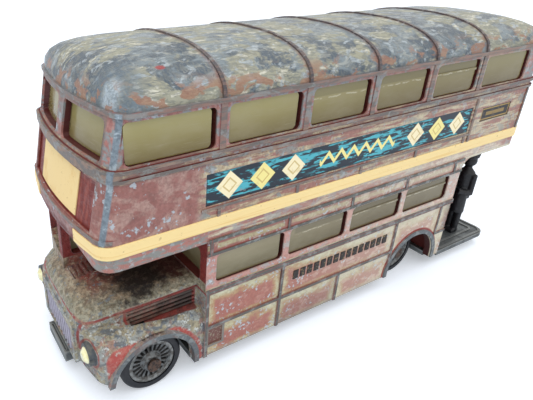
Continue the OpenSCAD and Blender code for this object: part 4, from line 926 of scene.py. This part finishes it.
def upper_side_paint():
    """Worn paint of the upper sides and front, from bare corners to red in the deepest places."""
    paint = Finish("worn upper paint", 0.52)
    edge, groove = paint.wear(0.45)
    out = abs(paint.y)
    bow = out.least(CORNER_Y).math("POWER", 2.0) * (0.5 / BOW_R)
    front_x = (UPPER_Z - paint.z) * LEAN - bow + FRONT_X
    across = out - CORNER_Y
    along = (paint.x - front_x) + CORNER_R
    corner = across.most(0.0).hypot(along.most(0.0))
    skin = corner + across.most(along).least(0.0) - CORNER_R
    proud = skin.rise(0.05, 0.14)
    inset = skin.rise(-0.2, -0.36) * paint.x.rise(REAR_FACE_X + 2.6, REAR_FACE_X + 3.2)
    corner_strip = across.rise(0.7, 1.2) * along.rise(0.7, 1.2) * abs(across - along).rise(0.95, 0.55)
    grain = paint.patches((1.6, 1.6, 1.6), 5.1, 0.42, 0.6, detail=7.0)
    streaks = paint.patches((0.16, 0.5, 1.5), 2.1, 0.45, 0.57, detail=7.0, warp=0.3)
    uprights = paint.patches((1.1, 1.1, 0.14), 50.0, 0.46, 0.64, detail=5.0)
    blue = paint.patches((0.3, 0.4, 0.5), 8.4, 0.53, 0.6, detail=7.0, warp=0.7)
    grit = paint.patches((2.2, 2.2, 2.2), 79.0, 0.5, 0.64, detail=3.0)
    smudge = paint.patches((0.3, 0.3, 0.3), 83.0, 0.48, 0.6, detail=6.0, warp=0.5)
    blotch = paint.patches((0.26, 0.26, 0.3), 61.0, 0.46, 0.6, detail=7.0, warp=0.6)
    rearward = paint.x.rise(20.0, -34.0) * paint.x.rise(REAR_FACE_X + 2.0, REAR_FACE_X + 12.0)
    clusters = paint.patches((0.2, 0.2, 0.2), 22.5, 0.46, 0.6, detail=3.0)
    chips = paint.patches((0.8, 0.8, 0.7), 52.5, 0.3, 0.7, detail=5.0)
    chips = (chips + clusters * 0.36).rise(1.0, 1.14)
    steel = paint.patches((0.3, 0.4, 0.5), 8.4, 0.47, 0.56, detail=7.0, warp=0.7)
    front_bay = paint.x.rise(FRONT_BAY_X - 1.0, FRONT_BAY_X + 1.0)
    below_rails = paint.z.rise(RAIL_Z, RAIL_Z - 0.2)
    rails = paint.z.within(RAIL_Z, UP_SILL_Z + 0.1, 0.1)
    windows = paint.z.rise(UP_SILL_Z - 0.1, UP_SILL_Z + 0.2)
    panel = paint.coats(
        (152, 100, 92),
        (smudge * 0.5, (120, 74, 68)),
        (blotch * 0.75, (184, 154, 142)),
        (uprights * 0.35, (170, 120, 112)),
        (grain * 0.35, (132, 84, 78)))
    strip = paint.coats(
        (162, 114, 102),
        (streaks, (196, 184, 152)),
        (blue, (142, 146, 142)),
        (grain * 0.4, (136, 94, 82)))
    rail_colour = paint.coats(
        (142, 106, 98),
        (streaks, (194, 180, 148)),
        (blue, (140, 143, 138)),
        (grain * 0.4, (116, 86, 76)))
    window_colour = paint.coats(
        (166, 112, 104),
        (uprights * 0.6, (190, 150, 142)),
        (steel, (138, 146, 147)),
        (grain * 0.3, (138, 88, 84)))
    proud_colour = paint.coats(
        (98, 96, 91),
        (streaks * 0.7, (150, 118, 106)),
        (blue * 0.6, (144, 149, 148)))
    groove_colour = paint.coats((132, 48, 44), (rearward * 0.8, (84, 58, 54)))
    corner_colour = paint.coats(
        (126, 140, 150),
        (blue, (168, 182, 190)),
        (grain * 0.6, (88, 98, 108)))
    recess_colour = paint.coats(PAINT_DEEP, (uprights, (142, 66, 54)))
    inset_colour = paint.coats((78, 26, 23), (below_rails, recess_colour))
    colour = paint.coats(
        panel,
        ((1.0 - front_bay) * below_rails, strip),
        (rails, rail_colour),
        (windows, window_colour),
        (grit * 0.35, (112, 78, 70)),
        (chips * (front_bay * 0.4 + 0.4), (182, 194, 202)),
        (rearward * (streaks * 0.4 + 0.05), (212, 202, 178)),
        (groove.rise(0.2, 0.45) * 0.85, groove_colour),
        (proud * 0.85, proud_colour),
        (edge.rise(0.35, 0.8) * 0.45, ZINC_LIGHT),
        (corner_strip, corner_colour),
        (inset, inset_colour))
    paint.set(Base_Color=colour, Roughness=streaks * 0.2 + 0.42)
    return paint.relief(streaks * 0.4 - chips + grain * 0.4, 0.035)


def upper_face(middle, normal):
    """0 for the roof, 1 for the sides and front, 2 for the hollow inside."""
    if middle.z > GUTTER_Z + 0.3 and normal.z > -0.2:
        return 0
    lean_x = FRONT_X - LEAN * (middle.z - UPPER_Z)
    if abs(middle.y) > UPPER_OUTER_Y or middle.x > lean_x - FRONT_DEPTH or middle.x < REAR_WALL_X:
        return 1
    return 2


upper_body = finished_copy("upper_body")
upper_inside = inner_paint("inner upper paint", (96, 40, 34))
paint_faces(upper_body, [roof_paint(), upper_side_paint(), upper_inside], upper_face)


# The paper labels, glued into shallow recesses: a long teal one on each side with plain lozenges,
# a small black one behind it and blank cream ones for the blinds. The row of dark marks on the
# saloon side is print.
TEAL = (74, 178, 192)
NAVY = (16, 32, 46)
LABEL_CREAM = (252, 238, 196)
LABEL_YELLOW = (248, 234, 150)
LABEL_STAIN = (220, 198, 140)
LABEL_OCHRE = (206, 178, 104)
LABEL_SCUFF = (140, 150, 154)
GOLD = (170, 140, 74)
ADVERT_MIDDLE_X, ADVERT_HALF = 0.6, 34.4
ADVERT_MIDDLE_Z, ADVERT_HALF_Z = 38.95, 2.85
LOZENGE_X, LOZENGE_STEP, LOZENGE_SIZE = 16.2, 6.8, 2.6
ZIGZAG_HALF, ZIGZAG_STEP = 10.0, 1.6
SMALL_X, SMALL_HALF = -43.0, 5.5
SMALL_Z, SMALL_HALF_Z = 39.4, 1.6


def advert_paper():
    """Teal paper with dark brush strokes, cream and yellow lozenges and a zigzag in the middle."""
    paper = Finish("printed label paper", 0.45)
    x = paper.x - ADVERT_MIDDLE_X
    z = paper.z - ADVERT_MIDDLE_Z
    strokes = paper.patches((0.25, 0.3, 1.7), 4.2, 0.48, 0.52, detail=4.0, warp=0.4)
    broad = paper.patches((0.14, 0.3, 0.7), 24.2, 0.5, 0.55, detail=4.0, warp=0.4)
    scuffs = paper.patches((0.4, 0.4, 0.5), 18.0, 0.66, 0.7, detail=6.0)
    ends = abs(x).rise(13.2, 13.4) * abs(x).rise(32.6, 32.4)
    u = (abs(x) - LOZENGE_X).fold(LOZENGE_STEP / 2)
    diamond = u * 0.95 + abs(z)
    lozenge = diamond.rise(LOZENGE_SIZE, LOZENGE_SIZE - 0.15) * ends
    heart = diamond.within(1.05, 1.4, 0.06) * ends
    yellow = abs(abs(x) - LOZENGE_X - LOZENGE_STEP).rise(3.4, 3.2)
    zigzag_line = z - (x.fold(ZIGZAG_STEP) * 1.2 - 0.9)
    zigzag = abs(zigzag_line).rise(0.55, 0.4) * abs(x).rise(ZIGZAG_HALF + 0.1, ZIGZAG_HALF - 0.1)
    rim = abs(z).rise(ADVERT_HALF_Z - 0.35, ADVERT_HALF_Z - 0.2)
    rim = rim.most(abs(x).rise(ADVERT_HALF - 0.4, ADVERT_HALF - 0.25))
    stains = paper.patches((0.9, 0.9, 0.9), 25.0, 0.55, 0.68)
    dark = strokes.most(broad * abs(x).rise(8.0, 14.0))
    lozenge_colour = paper.coats(LABEL_CREAM, (yellow, LABEL_YELLOW), (stains * 0.5, LABEL_STAIN))
    colour = paper.coats(
        TEAL,
        (dark, NAVY),
        (rim * 0.6, NAVY),
        (lozenge, lozenge_colour),
        (heart * 0.8, LABEL_OCHRE),
        (zigzag, LABEL_YELLOW),
        (scuffs, LABEL_SCUFF))
    paper.set(Base_Color=colour, Roughness=scuffs * 0.3 + 0.4)
    return paper.relief(scuffs * -1.0, 0.03)


def cream_paper():
    """Blank cream paper, a little stained."""
    paper = Finish("blank blind paper", 0.6)
    stain = paper.patches((0.25, 0.25, 0.25), 2.8, 0.5, 0.68)
    specks = paper.patches((1.4, 1.4, 1.4), 9.0, 0.64, 0.7)
    paper.set(Base_Color=paper.coats(
        (240, 212, 150),
        (stain * 0.5, (226, 184, 110)),
        (specks * 0.5, (150, 110, 66))))
    return paper.relief(stain, 0.02)


def black_paper():
    """Black paper with a gold border line and a gold bar."""
    paper = Finish("small black label", 0.5)
    x = abs(paper.x - SMALL_X)
    z = abs(paper.z - SMALL_Z)
    border = (x - SMALL_HALF).most(z - SMALL_HALF_Z).within(-0.55, -0.25, 0.06)
    bar = z.rise(0.5, 0.35) * x.rise(3.6, 3.4)
    rub = paper.patches((0.8, 0.8, 1.2), 6.0, 0.5, 0.62)
    paper.set(Base_Color=paper.coats(
        (26, 24, 24),
        (border, GOLD),
        (bar * 0.7, GOLD),
        (rub * 0.5, (96, 82, 72))))
    return paper.relief(rub, 0.02)


def dark_print():
    """Worn dark print, thin enough to break up."""
    ink = Finish("worn side print", 0.6)
    gaps = ink.patches((1.5, 1.5, 1.5), 3.0, 0.55, 0.62)
    ink.set(Base_Color=ink.coats((38, 33, 31), (gaps * 0.8, (132, 112, 76))))
    return ink.relief(gaps, 0.02)


LABELS = (("advert_label", ("left", "right"), "advert_paper", advert_paper()),
          ("small_label", ("left", "right"), "black_paper", black_paper()),
          ("blind_label", ("front", "rear"), "cream_paper", cream_paper()),
          ("side_label", ("left", "right"), "dark_print", dark_print()))
for label, places, slot, paper in LABELS:
    for place in places:
        sheet = finished_copy(label + "_" + place)
        sheet.data.materials.append(paper.material)
